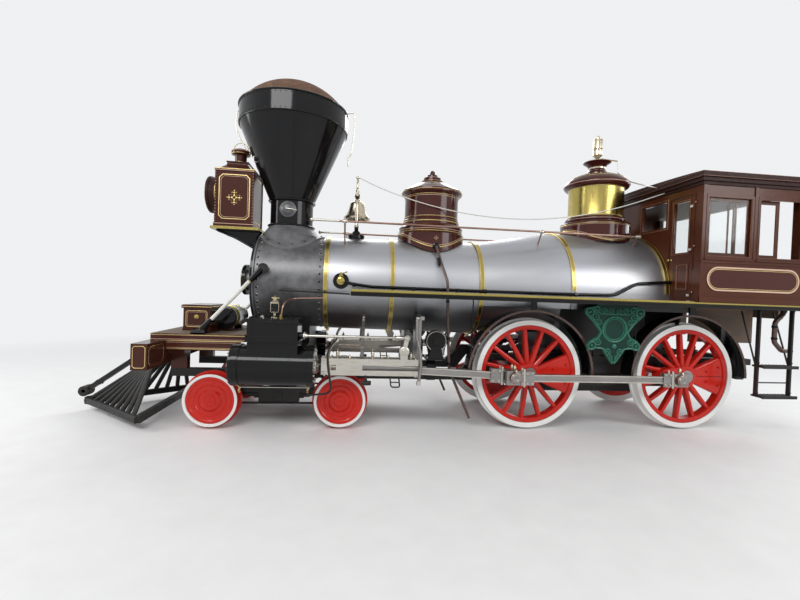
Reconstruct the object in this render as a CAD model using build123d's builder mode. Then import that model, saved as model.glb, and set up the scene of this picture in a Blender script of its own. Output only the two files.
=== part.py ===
from build123d import *
import math
import os

# A wood-burning steam locomotive with four driving wheels and a four-wheel leading truck.
# Millimetres. +X is ahead, +Y is the left side, +Z is up. Z = 0 is the lowest point of the
# wheel flanges and X = 0 is the middle of the whole length.

os.makedirs("parts", exist_ok=True)

# Wheels and axles
MAIN_X = -1100.0            # axle that the main rods drive
REAR_X = MAIN_X - 2280.0    # coupled rear axle
TRUCK_X = MAIN_X + 3310.0   # swivel of the leading truck, below the stack
TRUCK_HALF = 800.0          # half the truck's wheelbase
FLANGE = 28.0               # flange depth
DRIVER_R = 724.0            # tread radius of a driving wheel
TRUCK_R = 330.0             # tread radius of a truck wheel
DRIVER_Z = DRIVER_R + FLANGE
TRUCK_Z = TRUCK_R + FLANGE
TYRE_IN = 680.0             # inner face of every tyre, from the middle of the track
TYRE_OUT = 820.0
AXLE_R = 88.0
TRUCK_AXLE_R = 62.0
BORE_GAP = 1.5              # room round a journal

# Cylinders and rods
THROW = 305.0               # half the piston stroke
CYL_Y = 980.0               # middle of a cylinder, guide and main rod
CYL_Z = 845.0
CYL_R = 255.0
CYL_X = (MAIN_X + 2822.0, MAIN_X + 3795.0)
WRIST_X = MAIN_X + 2400.0   # left crosshead pin, with the left crank straight ahead
SIDE_ROD_Y = 1080.0
PIN_R = 58.0                # crank pin where the main rod runs
SIDE_PIN_R = 48.0           # crank pin where the side rod runs

# Boiler
BOILER_Z = 1890.0
SMOKEBOX_R = 640.0
JACKET_FRONT_R = 652.0
JACKET_R = 680.0            # largest radius of the barrel
FIREBOX_R = 868.0
SMOKEBOX_FRONT_X = MAIN_X + 3717.0
JACKET_FRONT_X = MAIN_X + 2780.0
TAPER_FRONT_X = MAIN_X + 620.0
FIREBOX_FRONT_X = MAIN_X - 530.0
BACKHEAD_X = MAIN_X - 2200.0
FIREBOX_SHOULDER_Z = 1645.0
DOOR_R = 350.0

# Stack, domes, bell
STACK_X = TRUCK_X
BELL_X = MAIN_X + 2375.0
BELL_PIVOT_Z = 3124.0
SAND_X = MAIN_X + 1270.0
STEAM_X = MAIN_X - 1330.0

# Cab and running boards
CAB_FRONT_X = MAIN_X - 1945.0
CAB_REAR_X = MAIN_X - 3455.0
CAB_Y = 1350.0              # outer face of the cab's sides
WALL = 45.0
FLOOR_Z = 1802.0            # top of the running boards and of the cab floor
EAVES_Z = 3334.0
ROOF_EDGE_Z = 3440.0
ROOF_TOP_Z = 3490.0
ROOF_X = (MAIN_X - 3870.0, MAIN_X - 1885.0)
DOOR_Y = (830.0, 1225.0)
DOOR_Z = (FLOOR_Z + 10.0, 3182.0)
DOOR_STEP = (929.0, 2215.0) # below this height the doorway starts farther out
WINDOW_Z = (2385.0, 3138.0)
WINDOWS = ((MAIN_X - 2630.0, MAIN_X - 2025.0), (MAIN_X - 3355.0, MAIN_X - 2745.0))
FRONT_WINDOW_Y = (265.0, 762.0)
FRONT_WINDOW_Z = (2823.0, 3182.0)

# Front end
FRONT_X = 5000.0            # nose of the push bar
REAR_END_X = -5000.0        # end of the drawbar plate
BEAM_X = (MAIN_X + 4700.0, MAIN_X + 4880.0)
DECK_Z = 1168.0
FRAME_Y = (430.0, 530.0)

LEFT = 1
RIGHT = -1
SIDES = (LEFT, RIGHT)


def side_plane(y):
    """Upright plane along the locomotive: sketch x is +X, sketch y is +Z."""
    return Plane(origin=(0, y, 0), x_dir=(1, 0, 0), z_dir=(0, -1, 0))


def cross_plane(x):
    """Upright plane across the locomotive: sketch x is +Y, sketch y is +Z."""
    return Plane(origin=(x, 0, 0), x_dir=(0, 1, 0), z_dir=(1, 0, 0))


def block(x, y, z):
    """A box between two values along each axis."""
    size = (abs(x[1] - x[0]), abs(y[1] - y[0]), abs(z[1] - z[0]))
    middle = ((x[0] + x[1]) / 2, (y[0] + y[1]) / 2, (z[0] + z[1]) / 2)
    with Locations(middle):
        return Box(*size)


def cut_block(x, y, z):
    """Cut a box between two values along each axis."""
    size = (abs(x[1] - x[0]), abs(y[1] - y[0]), abs(z[1] - z[0]))
    middle = ((x[0] + x[1]) / 2, (y[0] + y[1]) / 2, (z[0] + z[1]) / 2)
    with Locations(middle):
        Box(*size, mode=Mode.SUBTRACT)


def turned_y(x, z, radius, y, mode=Mode.ADD):
    """A round bar across the locomotive between two values of Y."""
    with Locations(Plane(origin=(x, (y[0] + y[1]) / 2, z), z_dir=(0, 1, 0))):
        Cylinder(radius, abs(y[1] - y[0]), mode=mode)


def turned_x(y, z, radius, x, mode=Mode.ADD):
    """A round bar along the locomotive between two values of X."""
    with Locations(Plane(origin=((x[0] + x[1]) / 2, y, z), z_dir=(1, 0, 0))):
        Cylinder(radius, abs(x[1] - x[0]), mode=mode)


def turned_z(x, y, radius, z, mode=Mode.ADD):
    """A round upright bar between two values of Z."""
    with Locations((x, y, (z[0] + z[1]) / 2)):
        Cylinder(radius, abs(z[1] - z[0]), mode=mode)


def bar(start, end, width, height):
    """A straight rectangular bar from one point to another, its height nearest to upright."""
    run = Vector(*end) - Vector(*start)
    across = Vector(0, 0, 1).cross(run)
    with BuildPart() as piece:
        with BuildSketch(Plane(origin=start, x_dir=across, z_dir=run)):
            Rectangle(width, height)
        extrude(amount=run.length)
    return piece.part


def rod(start, end, radius):
    """A straight round rod from one point to another."""
    run = Vector(*end) - Vector(*start)
    with BuildPart() as piece:
        with BuildSketch(Plane(origin=start, z_dir=run)):
            Circle(radius)
        extrude(amount=run.length)
    return piece.part


def tube(points, radii, radius):
    """A round pipe along straight runs joined by arcs."""
    with BuildPart() as piece:
        with BuildLine() as path:
            FilletPolyline(*points, radius=radii)
        with BuildSketch(Plane(origin=path.line @ 0, z_dir=path.line % 0)):
            Circle(radius)
        sweep()
    return piece.part


def turning(x, profile):
    """A solid turned about an upright axis at x, from (radius, z) pairs, bottom to top."""
    outline = [(0, profile[0][1])] + list(profile) + [(0, profile[-1][1])]
    with BuildPart() as piece:
        with BuildSketch(Plane(origin=(x, 0, 0), x_dir=(1, 0, 0), z_dir=(0, -1, 0))):
            with BuildLine():
                Polyline(*outline, close=True)
            make_face()
        revolve(axis=Axis((x, 0, 0), (0, 0, 1)))
    return piece.part


def write(piece, name):
    """Label a finished piece and write it."""
    piece.part.label = name
    export_step(piece.part, f"parts/{name}.step")


# Main frames: a bar frame each side, with a pedestal round each driving axle
FRAME_TOP_Z = (880.0, 970.0)
FRAME_LOW_Z = (545.0, 615.0)
FRONT_RAIL_Z = (600.0, 700.0)
PEDESTAL = 185.0
for side, name in ((LEFT, "frame_left"), (RIGHT, "frame_right")):
    y = (side * FRAME_Y[0], side * FRAME_Y[1])
    with BuildPart() as frame:
        block((MAIN_X - 3600.0, MAIN_X + 600.0), y, FRAME_TOP_Z)
        block((REAR_X - PEDESTAL, MAIN_X + PEDESTAL), y, FRAME_LOW_Z)
        block((MAIN_X + 700.0, BEAM_X[0]), y, FRONT_RAIL_Z)
        for axle_x in (MAIN_X, REAR_X):
            block((axle_x - PEDESTAL, axle_x + PEDESTAL), y, (FRAME_LOW_Z[0], FRAME_TOP_Z[1]))
        slope_y = side * sum(FRAME_Y) / 2
        with BuildSketch(side_plane(slope_y)):
            with BuildLine():
                Polyline(
                    (MAIN_X + 560.0, FRAME_TOP_Z[0]),
                    (MAIN_X + 600.0, FRAME_TOP_Z[1]),
                    (MAIN_X + 920.0, FRONT_RAIL_Z[1]),
                    (MAIN_X + 920.0, FRONT_RAIL_Z[0]),
                    (MAIN_X + 700.0, FRONT_RAIL_Z[0]),
                    (MAIN_X + 480.0, FRAME_TOP_Z[0]),
                    close=True,
                )
            make_face()
        extrude(amount=(FRAME_Y[1] - FRAME_Y[0]) / 2, both=True)
        for axle_x in (MAIN_X, REAR_X):
            turned_y(axle_x, DRIVER_Z, AXLE_R + BORE_GAP, (y[0] - side, y[1] + side), Mode.SUBTRACT)
    write(frame, name)

# Stays across the frames, with the drawbar plate at the rear
STAYS = (
    # x from, x to, z from, z to
    (MAIN_X - 3600.0, MAIN_X - 3480.0, 640.0, 960.0),
    (MAIN_X + 1495.0, MAIN_X + 1530.0, 605.0, 1180.0),
    (MAIN_X + 420.0, MAIN_X + 520.0, 885.0, 965.0),
)
DRAWBAR_Z = 800.0
with BuildPart() as frame_stays:
    for x0, x1, z0, z1 in STAYS:
        block((x0, x1), (-FRAME_Y[0], FRAME_Y[0]), (z0, z1))
    block((REAR_END_X, MAIN_X - 3480.0), (-90, 90), (DRAWBAR_Z - 45.0, DRAWBAR_Z + 45.0))
    with Locations((REAR_END_X + 95.0, 0, DRAWBAR_Z)):
        Cylinder(95.0, 90.0)
        Cylinder(32.0, 90.0, mode=Mode.SUBTRACT)
write(frame_stays, "frame_stays")

# Saddle under the smokebox, cylinders outside the frames, steam chests on top
CHEST_X = (MAIN_X + 3014.0, MAIN_X + 3593.0)
CHEST_Y = (765.0, 1200.0)
CHEST_Z = (1167.0, 1424.0)
WING_Y = 735.0
with BuildPart() as saddle:
    block((MAIN_X + 2960.0, MAIN_X + 3660.0), (-428.0, 428.0), (560.0, 1450.0))
    block((MAIN_X + 2960.0, MAIN_X + 3660.0), (-WING_Y, WING_Y), (702.0, 1060.0))
    turned_x(0, BOILER_Z, SMOKEBOX_R, (MAIN_X + 2900.0, MAIN_X + 3700.0), Mode.SUBTRACT)
write(saddle, "saddle")

with BuildPart() as cylinders:
    for side in SIDES:
        y = side * CYL_Y
        turned_x(y, CYL_Z, CYL_R - 10.0, CYL_X)
        for x0, x1 in ((CYL_X[0], CYL_X[0] + 70.0), (CYL_X[1] - 95.0, CYL_X[1] - 30.0)):
            turned_x(y, CYL_Z, CYL_R, (x0, x1))
        block(CHEST_X, (side * 790.0, side * 1180.0), (CYL_Z, CHEST_Z[0]))
        turned_x(y, CYL_Z, 70.0, (CYL_X[0] - 75.0, CYL_X[0]))
        turned_x(y, CYL_Z, 36.0, (CYL_X[0] - 76.0, CYL_X[0] + 200.0), Mode.SUBTRACT)
write(cylinders, "cylinders")

LUBRICATOR_X = MAIN_X + 3325.0
LUBRICATOR_Y = 960.0
LUBRICATOR = (
    # radius, z from and to: foot, stem, glass cup, cap, filling plug
    (42.0, 1423.0, 1440.0),
    (16.0, 1439.0, 1490.0),
    (50.0, 1489.0, 1600.0),
    (58.0, 1599.0, 1622.0),
    (24.0, 1621.0, 1685.0),
)
with BuildPart() as steam_chests:
    for side in SIDES:
        block(CHEST_X, (side * CHEST_Y[0], side * CHEST_Y[1]), CHEST_Z)
        block(
            (CHEST_X[0] - 14.0, CHEST_X[1] + 14.0),
            (side * (CHEST_Y[0] - 14.0), side * (CHEST_Y[1] + 14.0)),
            (CHEST_Z[1] - 36.0, CHEST_Z[1]),
        )
        turned_x(side * 1070.0, 1223.0, 42.0, (CHEST_X[0] - 70.0, CHEST_X[0]))
        for radius, z0, z1 in LUBRICATOR:
            turned_z(LUBRICATOR_X, side * LUBRICATOR_Y, radius, (z0, z1))
write(steam_chests, "steam_chests")

# Smokebox: a shell with a mouth in its front plate, and the round door that hinges at its right edge
SMOKEBOX_X = (JACKET_FRONT_X, SMOKEBOX_FRONT_X)
DOOR_HINGE_X = SMOKEBOX_FRONT_X + 41.0
DOOR_HINGE_Y = -(DOOR_R + 40.0)
DOOR_HINGE_Z = (BOILER_Z - 150.0, BOILER_Z + 150.0)
DOOR_X = (SMOKEBOX_FRONT_X + 8.0, SMOKEBOX_FRONT_X + 48.0)
SMOKEBOX_RING = 45.0
SMOKEBOX_WALL = 28.0
TUBE_PLATE = 60.0
MOUTH_R = DOOR_R - 40.0
KNUCKLE_R = 16.0
HINGE_PIN_R = 8.0
with BuildPart() as smokebox:
    turned_x(0, BOILER_Z, SMOKEBOX_R, SMOKEBOX_X)
    turned_x(0, BOILER_Z, SMOKEBOX_R + 20.0, (SMOKEBOX_FRONT_X - SMOKEBOX_RING, SMOKEBOX_FRONT_X))
    chamber_x = (SMOKEBOX_X[0] + TUBE_PLATE, SMOKEBOX_X[1] - SMOKEBOX_RING)
    turned_x(0, BOILER_Z, SMOKEBOX_R - SMOKEBOX_WALL, chamber_x, Mode.SUBTRACT)
    turned_x(0, BOILER_Z, MOUTH_R, (chamber_x[1] - 1.0, SMOKEBOX_X[1] + 1.0), Mode.SUBTRACT)
    for z in DOOR_HINGE_Z:
        block(
            (SMOKEBOX_FRONT_X, DOOR_HINGE_X),
            (DOOR_HINGE_Y - 6.0, DOOR_HINGE_Y + 6.0),
            (z - 28.0, z + 28.0),
        )
        turned_z(DOOR_HINGE_X, DOOR_HINGE_Y, KNUCKLE_R, (z - 28.0, z + 28.0))
        turned_z(DOOR_HINGE_X, DOOR_HINGE_Y, HINGE_PIN_R, (z - 64.0, z + 64.0))
write(smokebox, "smokebox")

DOOR_STEPS = (
    # radius, x from and to, ahead of the door's front face
    (250.0, 0.0, 50.0),
    (150.0, 49.0, 130.0),
    (215.0, 129.0, 175.0),
    (60.0, 174.0, 195.0),
)
with BuildPart() as smokebox_door:
    turned_x(0, BOILER_Z, DOOR_R, DOOR_X)
    for radius, x0, x1 in DOOR_STEPS:
        turned_x(0, BOILER_Z, radius, (DOOR_X[1] + x0, DOOR_X[1] + x1))
    for z in DOOR_HINGE_Z:
        for z0, z1 in ((z - 60.0, z - 30.0), (z + 30.0, z + 60.0)):
            turned_z(DOOR_HINGE_X, DOOR_HINGE_Y, KNUCKLE_R, (z0, z1))
            block((DOOR_X[1] - 14.0, DOOR_X[1]), (DOOR_HINGE_Y, -DOOR_R + 60.0), (z0, z1))
            turned_z(DOOR_HINGE_X, DOOR_HINGE_Y, HINGE_PIN_R + 0.5, (z0 - 1.0, z1 + 1.0), Mode.SUBTRACT)
write(smokebox_door, "smokebox_door")

# Boiler jacket: a slightly tapered barrel, a wagon top and the firebox that ends in the cab
with BuildPart() as boiler:
    with BuildSketch(Plane(origin=(0, 0, BOILER_Z), x_dir=(1, 0, 0), z_dir=(0, -1, 0))):
        with BuildLine():
            Polyline(
                (JACKET_FRONT_X, 0),
                (JACKET_FRONT_X, JACKET_FRONT_R),
                (TAPER_FRONT_X, JACKET_R),
                (FIREBOX_FRONT_X, FIREBOX_R),
                (BACKHEAD_X, FIREBOX_R),
                (BACKHEAD_X, 0),
                close=True,
            )
        make_face()
    revolve(axis=Axis((0, 0, BOILER_Z), (1, 0, 0)))
    cut_block((BACKHEAD_X - 10.0, TAPER_FRONT_X), (-1000.0, 1000.0), (900.0, FIREBOX_SHOULDER_Z))
    block(
        (BACKHEAD_X, FIREBOX_FRONT_X),
        (-FIREBOX_R, FIREBOX_R),
        (FIREBOX_SHOULDER_Z, BOILER_Z),
    )
    turned_x(0, BOILER_Z, 640.0, (FIREBOX_FRONT_X, TAPER_FRONT_X + 1.0))
    block((BACKHEAD_X + 250.0, MAIN_X - 330.0), (-410.0, 410.0), (700.0, FIREBOX_SHOULDER_Z))
write(boiler, "boiler")

# Brass bands round the jacket
BAND = 58.0
with BuildPart() as boiler_bands:
    for x, radius in (
        (JACKET_FRONT_X - BAND, JACKET_FRONT_R + 1.3),
        (MAIN_X + 1842.0, 665.5),
        (TAPER_FRONT_X, JACKET_R + 0.5),
    ):
        turned_x(0, BOILER_Z, radius + 16.0, (x, x + BAND))
        turned_x(0, BOILER_Z, radius, (x - 1.0, x + BAND + 1.0), Mode.SUBTRACT)
    for x in (FIREBOX_FRONT_X - BAND, CAB_FRONT_X + 6.0):
        turned_x(0, BOILER_Z, FIREBOX_R + 14.0, (x, x + BAND))
        turned_x(0, BOILER_Z, FIREBOX_R + 0.5, (x - 1.0, x + BAND + 1.0), Mode.SUBTRACT)
        cut_block((x - 1.0, x + BAND + 1.0), (-1000.0, 1000.0), (900.0, BOILER_Z))
write(boiler_bands, "boiler_bands")

# Stack: saddle ring, neck, tall cone, riveted rim band; spark screen on top
RIM_Z = 4305.0
RIM_R = 757.0
BAND_FOOT_Z = 4050.0
SCREEN_TOP_Z = 4700.0
STACK_FLANGE_R = 480.0
STACK_PROFILE = (
    # radius, z
    (405.0, 2300.0),
    (405.0, 2535.0),
    (352.0, 2600.0),
    (318.0, 2645.0),
    (318.0, 2676.0),
    (298.0, 2680.0),
    (298.0, 3018.0),
    (312.0, 3024.0),
    (744.0, BAND_FOOT_Z - 6.0),
    (RIM_R, BAND_FOOT_Z),
    (RIM_R, RIM_Z),
)
with BuildPart() as stack:
    with Locations((STACK_X, 0, 2400.0)):
        Cylinder(STACK_FLANGE_R, 400.0)
    flange_x = (STACK_X - 600.0, SMOKEBOX_FRONT_X - SMOKEBOX_RING - 1.0)
    turned_x(0, BOILER_Z, SMOKEBOX_R + 20.0, flange_x, Mode.INTERSECT)
    add(turning(STACK_X, STACK_PROFILE))
    turned_x(0, BOILER_Z, SMOKEBOX_R, (STACK_X - 600.0, STACK_X + 600.0), Mode.SUBTRACT)
    turned_x(0, BOILER_Z, SMOKEBOX_R + 20.0, (flange_x[1], STACK_X + 600.0), Mode.SUBTRACT)
write(stack, "stack")

SCREEN_RISE = SCREEN_TOP_Z - RIM_Z
SCREEN_FOOT_R = RIM_R - 12.0
SCREEN_R = (SCREEN_FOOT_R**2 + SCREEN_RISE**2) / (2 * SCREEN_RISE)
with BuildPart() as stack_screen:
    with Locations((STACK_X, 0, SCREEN_TOP_Z - SCREEN_R)):
        Sphere(SCREEN_R)
    cut_block(
        (STACK_X - SCREEN_R - 1.0, STACK_X + SCREEN_R + 1.0),
        (-SCREEN_R - 1.0, SCREEN_R + 1.0),
        (SCREEN_TOP_Z - 2 * SCREEN_R - 1.0, RIM_Z),
    )
write(stack_screen, "stack_screen")

# Headlight on its shelf ahead of the stack
LAMP_X = (MAIN_X + 3800.0, MAIN_X + 4290.0)
LAMP_MIDDLE_X = (LAMP_X[0] + LAMP_X[1]) / 2
LAMP_Y = 270.0
LAMP_Z = (2650.0, 3360.0)
LAMP_EAVES_Z = LAMP_Z[1] + 32.0
LAMP_TIER_Z = 3515.0
LENS_Z = 3075.0
SHELF_X = (MAIN_X + 3700.0, MAIN_X + 4331.0)
SHELF_Z = (2564.0, 2594.0)
with BuildPart() as headlight:
    for margin, z0, z1 in ((18.0, SHELF_Z[1], LAMP_Z[0]), (0.0, *LAMP_Z), (16.0, LAMP_Z[1], LAMP_EAVES_Z)):
        block(
            (LAMP_X[0] - margin, LAMP_X[1] + margin),
            (-LAMP_Y - margin, LAMP_Y + margin),
            (z0, z1),
        )
    with BuildSketch(Plane.XY.offset(LAMP_EAVES_Z)):
        with Locations((LAMP_MIDDLE_X, 0)):
            Rectangle(440.0, 500.0)
    with BuildSketch(Plane.XY.offset(LAMP_TIER_Z)):
        with Locations((LAMP_MIDDLE_X, 0)):
            Rectangle(210.0, 210.0)
    loft()
    turned_z(LAMP_MIDDLE_X, 0, 122.0, (LAMP_TIER_Z, LAMP_TIER_Z + 20.0))
    turned_z(LAMP_MIDDLE_X, 0, 80.0, (LAMP_TIER_Z, 3660.0))
    turned_z(LAMP_MIDDLE_X, 0, 122.0, (3660.0, 3715.0))
    turned_z(LAMP_MIDDLE_X, 0, 70.0, (3715.0, 3735.0))
    turned_x(0, LENS_Z, 242.0, (LAMP_X[1], LAMP_X[1] + 135.0))
write(headlight, "headlight")

with BuildPart() as headlight_shelf:
    block(SHELF_X, (-330.0, 330.0), SHELF_Z)
    for side in SIDES:
        with BuildSketch(side_plane(side * 190.0)):
            with BuildLine():
                Polyline(
                    (SMOKEBOX_FRONT_X + 4.0, SHELF_Z[0]),
                    (SHELF_X[1] - 30.0, SHELF_Z[0]),
                    (SHELF_X[1] - 60.0, SHELF_Z[0] - 31.0),
                    (SMOKEBOX_FRONT_X + 60.0, 2360.0),
                    (SMOKEBOX_FRONT_X + 4.0, 2330.0),
                    close=True,
                )
            make_face()
        extrude(amount=9.0, both=True)
write(headlight_shelf, "headlight_shelf")

# Bell and its stand
BELL_TOP_Z = 3092.0
BELL_RIM_Z = 2835.0
ARM_TOP_Z = 3357.0
ARM_Y = 330.0
POST_Y = 228.0
with BuildPart() as bell_stand:
    turned_z(BELL_X, 0, 120.0, (2480.0, 2600.0))
    turned_z(BELL_X, 0, 45.0, (2600.0, 2660.0))
    turned_x(0, BOILER_Z, 659.0, (BELL_X - 130.0, BELL_X + 130.0), Mode.SUBTRACT)
    block((BELL_X - 28.0, BELL_X + 28.0), (-POST_Y - 22.0, POST_Y + 22.0), (2650.0, 2690.0))
    for side in SIDES:
        turned_z(BELL_X, side * POST_Y, 20.0, (2680.0, BELL_PIVOT_Z + 20.0))
        turned_y(BELL_X, BELL_PIVOT_Z, 34.0, (side * (POST_Y - 20.0), side * (POST_Y + 20.0)))
        bore = (side * (POST_Y - 21.0), side * (POST_Y + 21.0))
        turned_y(BELL_X, BELL_PIVOT_Z, 21.5, bore, Mode.SUBTRACT)
write(bell_stand, "bell_stand")

BELL_PROFILE = (
    (190.0, BELL_RIM_Z),
    (186.0, BELL_RIM_Z + 18.0),
    (140.0, BELL_RIM_Z + 80.0),
    (112.0, BELL_RIM_Z + 170.0),
    (100.0, BELL_RIM_Z + 225.0),
    (60.0, BELL_TOP_Z),
)
BELL_HOLLOW = (
    (170.0, BELL_RIM_Z - 1.0),
    (120.0, BELL_RIM_Z + 80.0),
    (92.0, BELL_RIM_Z + 170.0),
    (78.0, BELL_RIM_Z + 215.0),
)
with BuildPart() as bell:
    add(turning(BELL_X, BELL_PROFILE))
    add(turning(BELL_X, BELL_HOLLOW), mode=Mode.SUBTRACT)
    turned_z(BELL_X, 0, 36.0, (BELL_TOP_Z - 60.0, BELL_PIVOT_Z))
    turned_y(BELL_X, BELL_PIVOT_Z, 20.0, (-POST_Y - 30.0, ARM_Y + 16.0))
    turned_z(BELL_X, ARM_Y, 13.0, (BELL_PIVOT_Z, ARM_TOP_Z))
    with Locations((BELL_X, ARM_Y, ARM_TOP_Z)):
        Sphere(24.0)
write(bell, "bell")

# Sand dome and steam dome
SAND_PROFILE = (
    (488.0, 2300.0),
    (488.0, 2640.0),
    (462.0, 2664.0),
    (462.0, 2735.0),
    (425.0, 2772.0),
    (412.0, 2790.0),
    (412.0, 2850.0),
    (395.0, 2870.0),
    (395.0, 3215.0),
    (441.0, 3240.0),
    (441.0, 3275.0),
    (380.0, 3325.0),
    (240.0, 3400.0),
    (157.0, 3440.0),
    (157.0, 3456.0),
    (126.0, 3474.0),
    (126.0, 3500.0),
    (74.0, 3520.0),
    (74.0, 3545.0),
    (24.0, 3556.0),
)
with BuildPart() as sand_dome:
    add(turning(SAND_X, SAND_PROFILE))
    with Locations((SAND_X, 0, 3585.0)):
        Sphere(36.0)
    turned_x(0, BOILER_Z, JACKET_R + 3.0, (SAND_X - 600.0, SAND_X + 600.0), Mode.SUBTRACT)
write(sand_dome, "sand_dome")

STEAM_PROFILE = (
    (500.0, 2640.0),
    (500.0, 2920.0),
    (486.0, 2945.0),
    (426.0, 2960.0),
    (426.0, 3024.0),
    (394.0, 3040.0),
    (394.0, 3495.0),
    (458.0, 3524.0),
    (466.0, 3556.0),
    (444.0, 3598.0),
    (385.0, 3645.0),
    (270.0, 3703.0),
    (150.0, 3718.0),
)
with BuildPart() as steam_dome:
    add(turning(STEAM_X, STEAM_PROFILE))
    turned_x(0, BOILER_Z, FIREBOX_R + 0.5, (STEAM_X - 600.0, STEAM_X + 600.0), Mode.SUBTRACT)
write(steam_dome, "steam_dome")

WHISTLE_PROFILE = (
    (150.0, 3718.0),
    (150.0, 3745.0),
    (120.0, 3800.0),
    (130.0, 3860.0),
    (195.0, 3915.0),
    (60.0, 3918.0),
    (24.0, 3950.0),
    (24.0, 3985.0),
    (66.0, 4040.0),
    (66.0, 4115.0),
    (52.0, 4118.0),
    (52.0, 4134.0),
    (66.0, 4137.0),
    (66.0, 4288.0),
    (30.0, 4302.0),
    (16.0, 4336.0),
)
with BuildPart() as whistle:
    add(turning(STEAM_X, WHISTLE_PROFILE))
write(whistle, "whistle")

# Handrails along the jacket, on short posts
RAIL_Y = 590.0
RAIL_Z = 2705.0
RAIL_X = (MAIN_X - 1650.0, MAIN_X + 2940.0)
POSTS = (
    # x, radius of the jacket there
    (MAIN_X - 1640.0, FIREBOX_R),
    (MAIN_X - 205.0, 817.0),
    (MAIN_X + 2526.0, 655.0),
)
with BuildPart() as handrails:
    for side in SIDES:
        turned_x(side * RAIL_Y, RAIL_Z, 14.0, RAIL_X)
        reach = math.hypot(RAIL_Y, RAIL_Z - BOILER_Z)
        for x, radius in POSTS:
            share = (radius + 2.0) / reach
            foot = (x, side * RAIL_Y * share, BOILER_Z + (RAIL_Z - BOILER_Z) * share)
            add(rod(foot, (x, side * RAIL_Y, RAIL_Z), 11.0))
            turned_x(side * RAIL_Y, RAIL_Z, 23.0, (x - 24.0, x + 24.0))
write(handrails, "handrails")

# Running boards with their edge valance, bored for the sand pipes
BOARD_T = 22.0
VALANCE_Z = 1728.0
BOARD_X = (MAIN_X - 3700.0, MAIN_X + 2409.0)
with BuildPart() as running_boards:
    for side in SIDES:
        inner, outer = side * 880.0, side * (CAB_Y - 5.0)
        block(BOARD_X, (inner, outer), (FLOOR_Z - BOARD_T, FLOOR_Z))
        block((TAPER_FRONT_X, BOARD_X[1]), (side * 725.0, inner), (FLOOR_Z - BOARD_T, FLOOR_Z))
        block(BOARD_X, (outer - side * 16.0, outer), (VALANCE_Z, FLOOR_Z))
        hole_z = (FLOOR_Z - BOARD_T - 1.0, FLOOR_Z + 1.0)
        turned_z(SAND_X - 121.0, side * 800.0, 27.0, hole_z, Mode.SUBTRACT)
write(running_boards, "running_boards")

# Curved guards over the driving wheels
GUARD_R = 842.0
GUARD_Y = (650.0, 900.0)
GUARD_STAY_X = 825.0        # upright stay, ahead of the axle
with BuildPart() as wheel_guards:
    for side in SIDES:
        for axle_x in (MAIN_X, REAR_X):
            middle_y = side * sum(GUARD_Y) / 2
            with BuildSketch(side_plane(middle_y)) as ring:
                with Locations((axle_x, DRIVER_Z)):
                    Circle(GUARD_R + 12.0)
                    Circle(GUARD_R, mode=Mode.SUBTRACT)
                with Locations((axle_x, DRIVER_Z - 500.0)):
                    Rectangle(2000.0, 1000.0, mode=Mode.SUBTRACT)
            extrude(amount=(GUARD_Y[1] - GUARD_Y[0]) / 2, both=True)
            block(
                (axle_x - 40.0, axle_x + 40.0),
                (side * (GUARD_Y[1] - 16.0), side * GUARD_Y[1]),
                (DRIVER_Z + GUARD_R - 2.0, FLOOR_Z - BOARD_T),
            )
            turned_z(axle_x + GUARD_STAY_X, side * (GUARD_Y[1] - 8.0), 8.0, (955.0, FLOOR_Z - BOARD_T))
write(wheel_guards, "wheel_guards")

# Cab front wall, cut round the firebox, with a doorway and a window each side
CAB_HINGE_X = CAB_FRONT_X + 9.0
CAB_HINGE_Y = DOOR_Y[1] - 3.0
CAB_HINGE_Z = (1905.0, 2500.0, 3060.0)
CAB_KNUCKLE_R = 8.0
with BuildPart() as cab_front:
    block((CAB_FRONT_X - WALL, CAB_FRONT_X), (-CAB_Y + WALL, CAB_Y - WALL), (FLOOR_Z, EAVES_Z))
    turned_x(0, BOILER_Z, FIREBOX_R + 3.0, (CAB_FRONT_X - WALL - 1.0, CAB_FRONT_X + 1.0), Mode.SUBTRACT)
    cut_block(
        (CAB_FRONT_X - WALL - 1.0, CAB_FRONT_X + 1.0),
        (-FIREBOX_R - 3.0, FIREBOX_R + 3.0),
        (FLOOR_Z - 1.0, BOILER_Z),
    )
    for side in SIDES:
        for y, z in (
            (DOOR_Y, (DOOR_STEP[1], DOOR_Z[1])),
            ((DOOR_STEP[0], DOOR_Y[1]), (FLOOR_Z - 1.0, DOOR_STEP[1])),
            (FRONT_WINDOW_Y, FRONT_WINDOW_Z),
        ):
            cut_block((CAB_FRONT_X - WALL - 1.0, CAB_FRONT_X + 1.0), (side * y[0], side * y[1]), z)
        for z in CAB_HINGE_Z:
            turned_z(CAB_HINGE_X, side * CAB_HINGE_Y, CAB_KNUCKLE_R, (z, z + 40.0))
            block(
                (CAB_FRONT_X, CAB_FRONT_X + 10.0),
                (side * (DOOR_Y[1] + 1.0), side * (DOOR_Y[1] + 45.0)),
                (z, z + 40.0),
            )
write(cab_front, "cab_front")

# Cab sides, each with two windows
for side, name in ((LEFT, "cab_side_left"), (RIGHT, "cab_side_right")):
    y = (side * (CAB_Y - WALL), side * CAB_Y)
    with BuildPart() as cab_side:
        block((CAB_REAR_X, CAB_FRONT_X), y, (FLOOR_Z, EAVES_Z))
        for window in WINDOWS:
            cut_block(window, (y[0] - side, y[1] + side), WINDOW_Z)
        block((CAB_REAR_X, CAB_REAR_X + 60.0), (side * (CAB_Y - 150.0), y[0]), (FLOOR_Z, EAVES_Z))
    write(cab_side, name)

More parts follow.
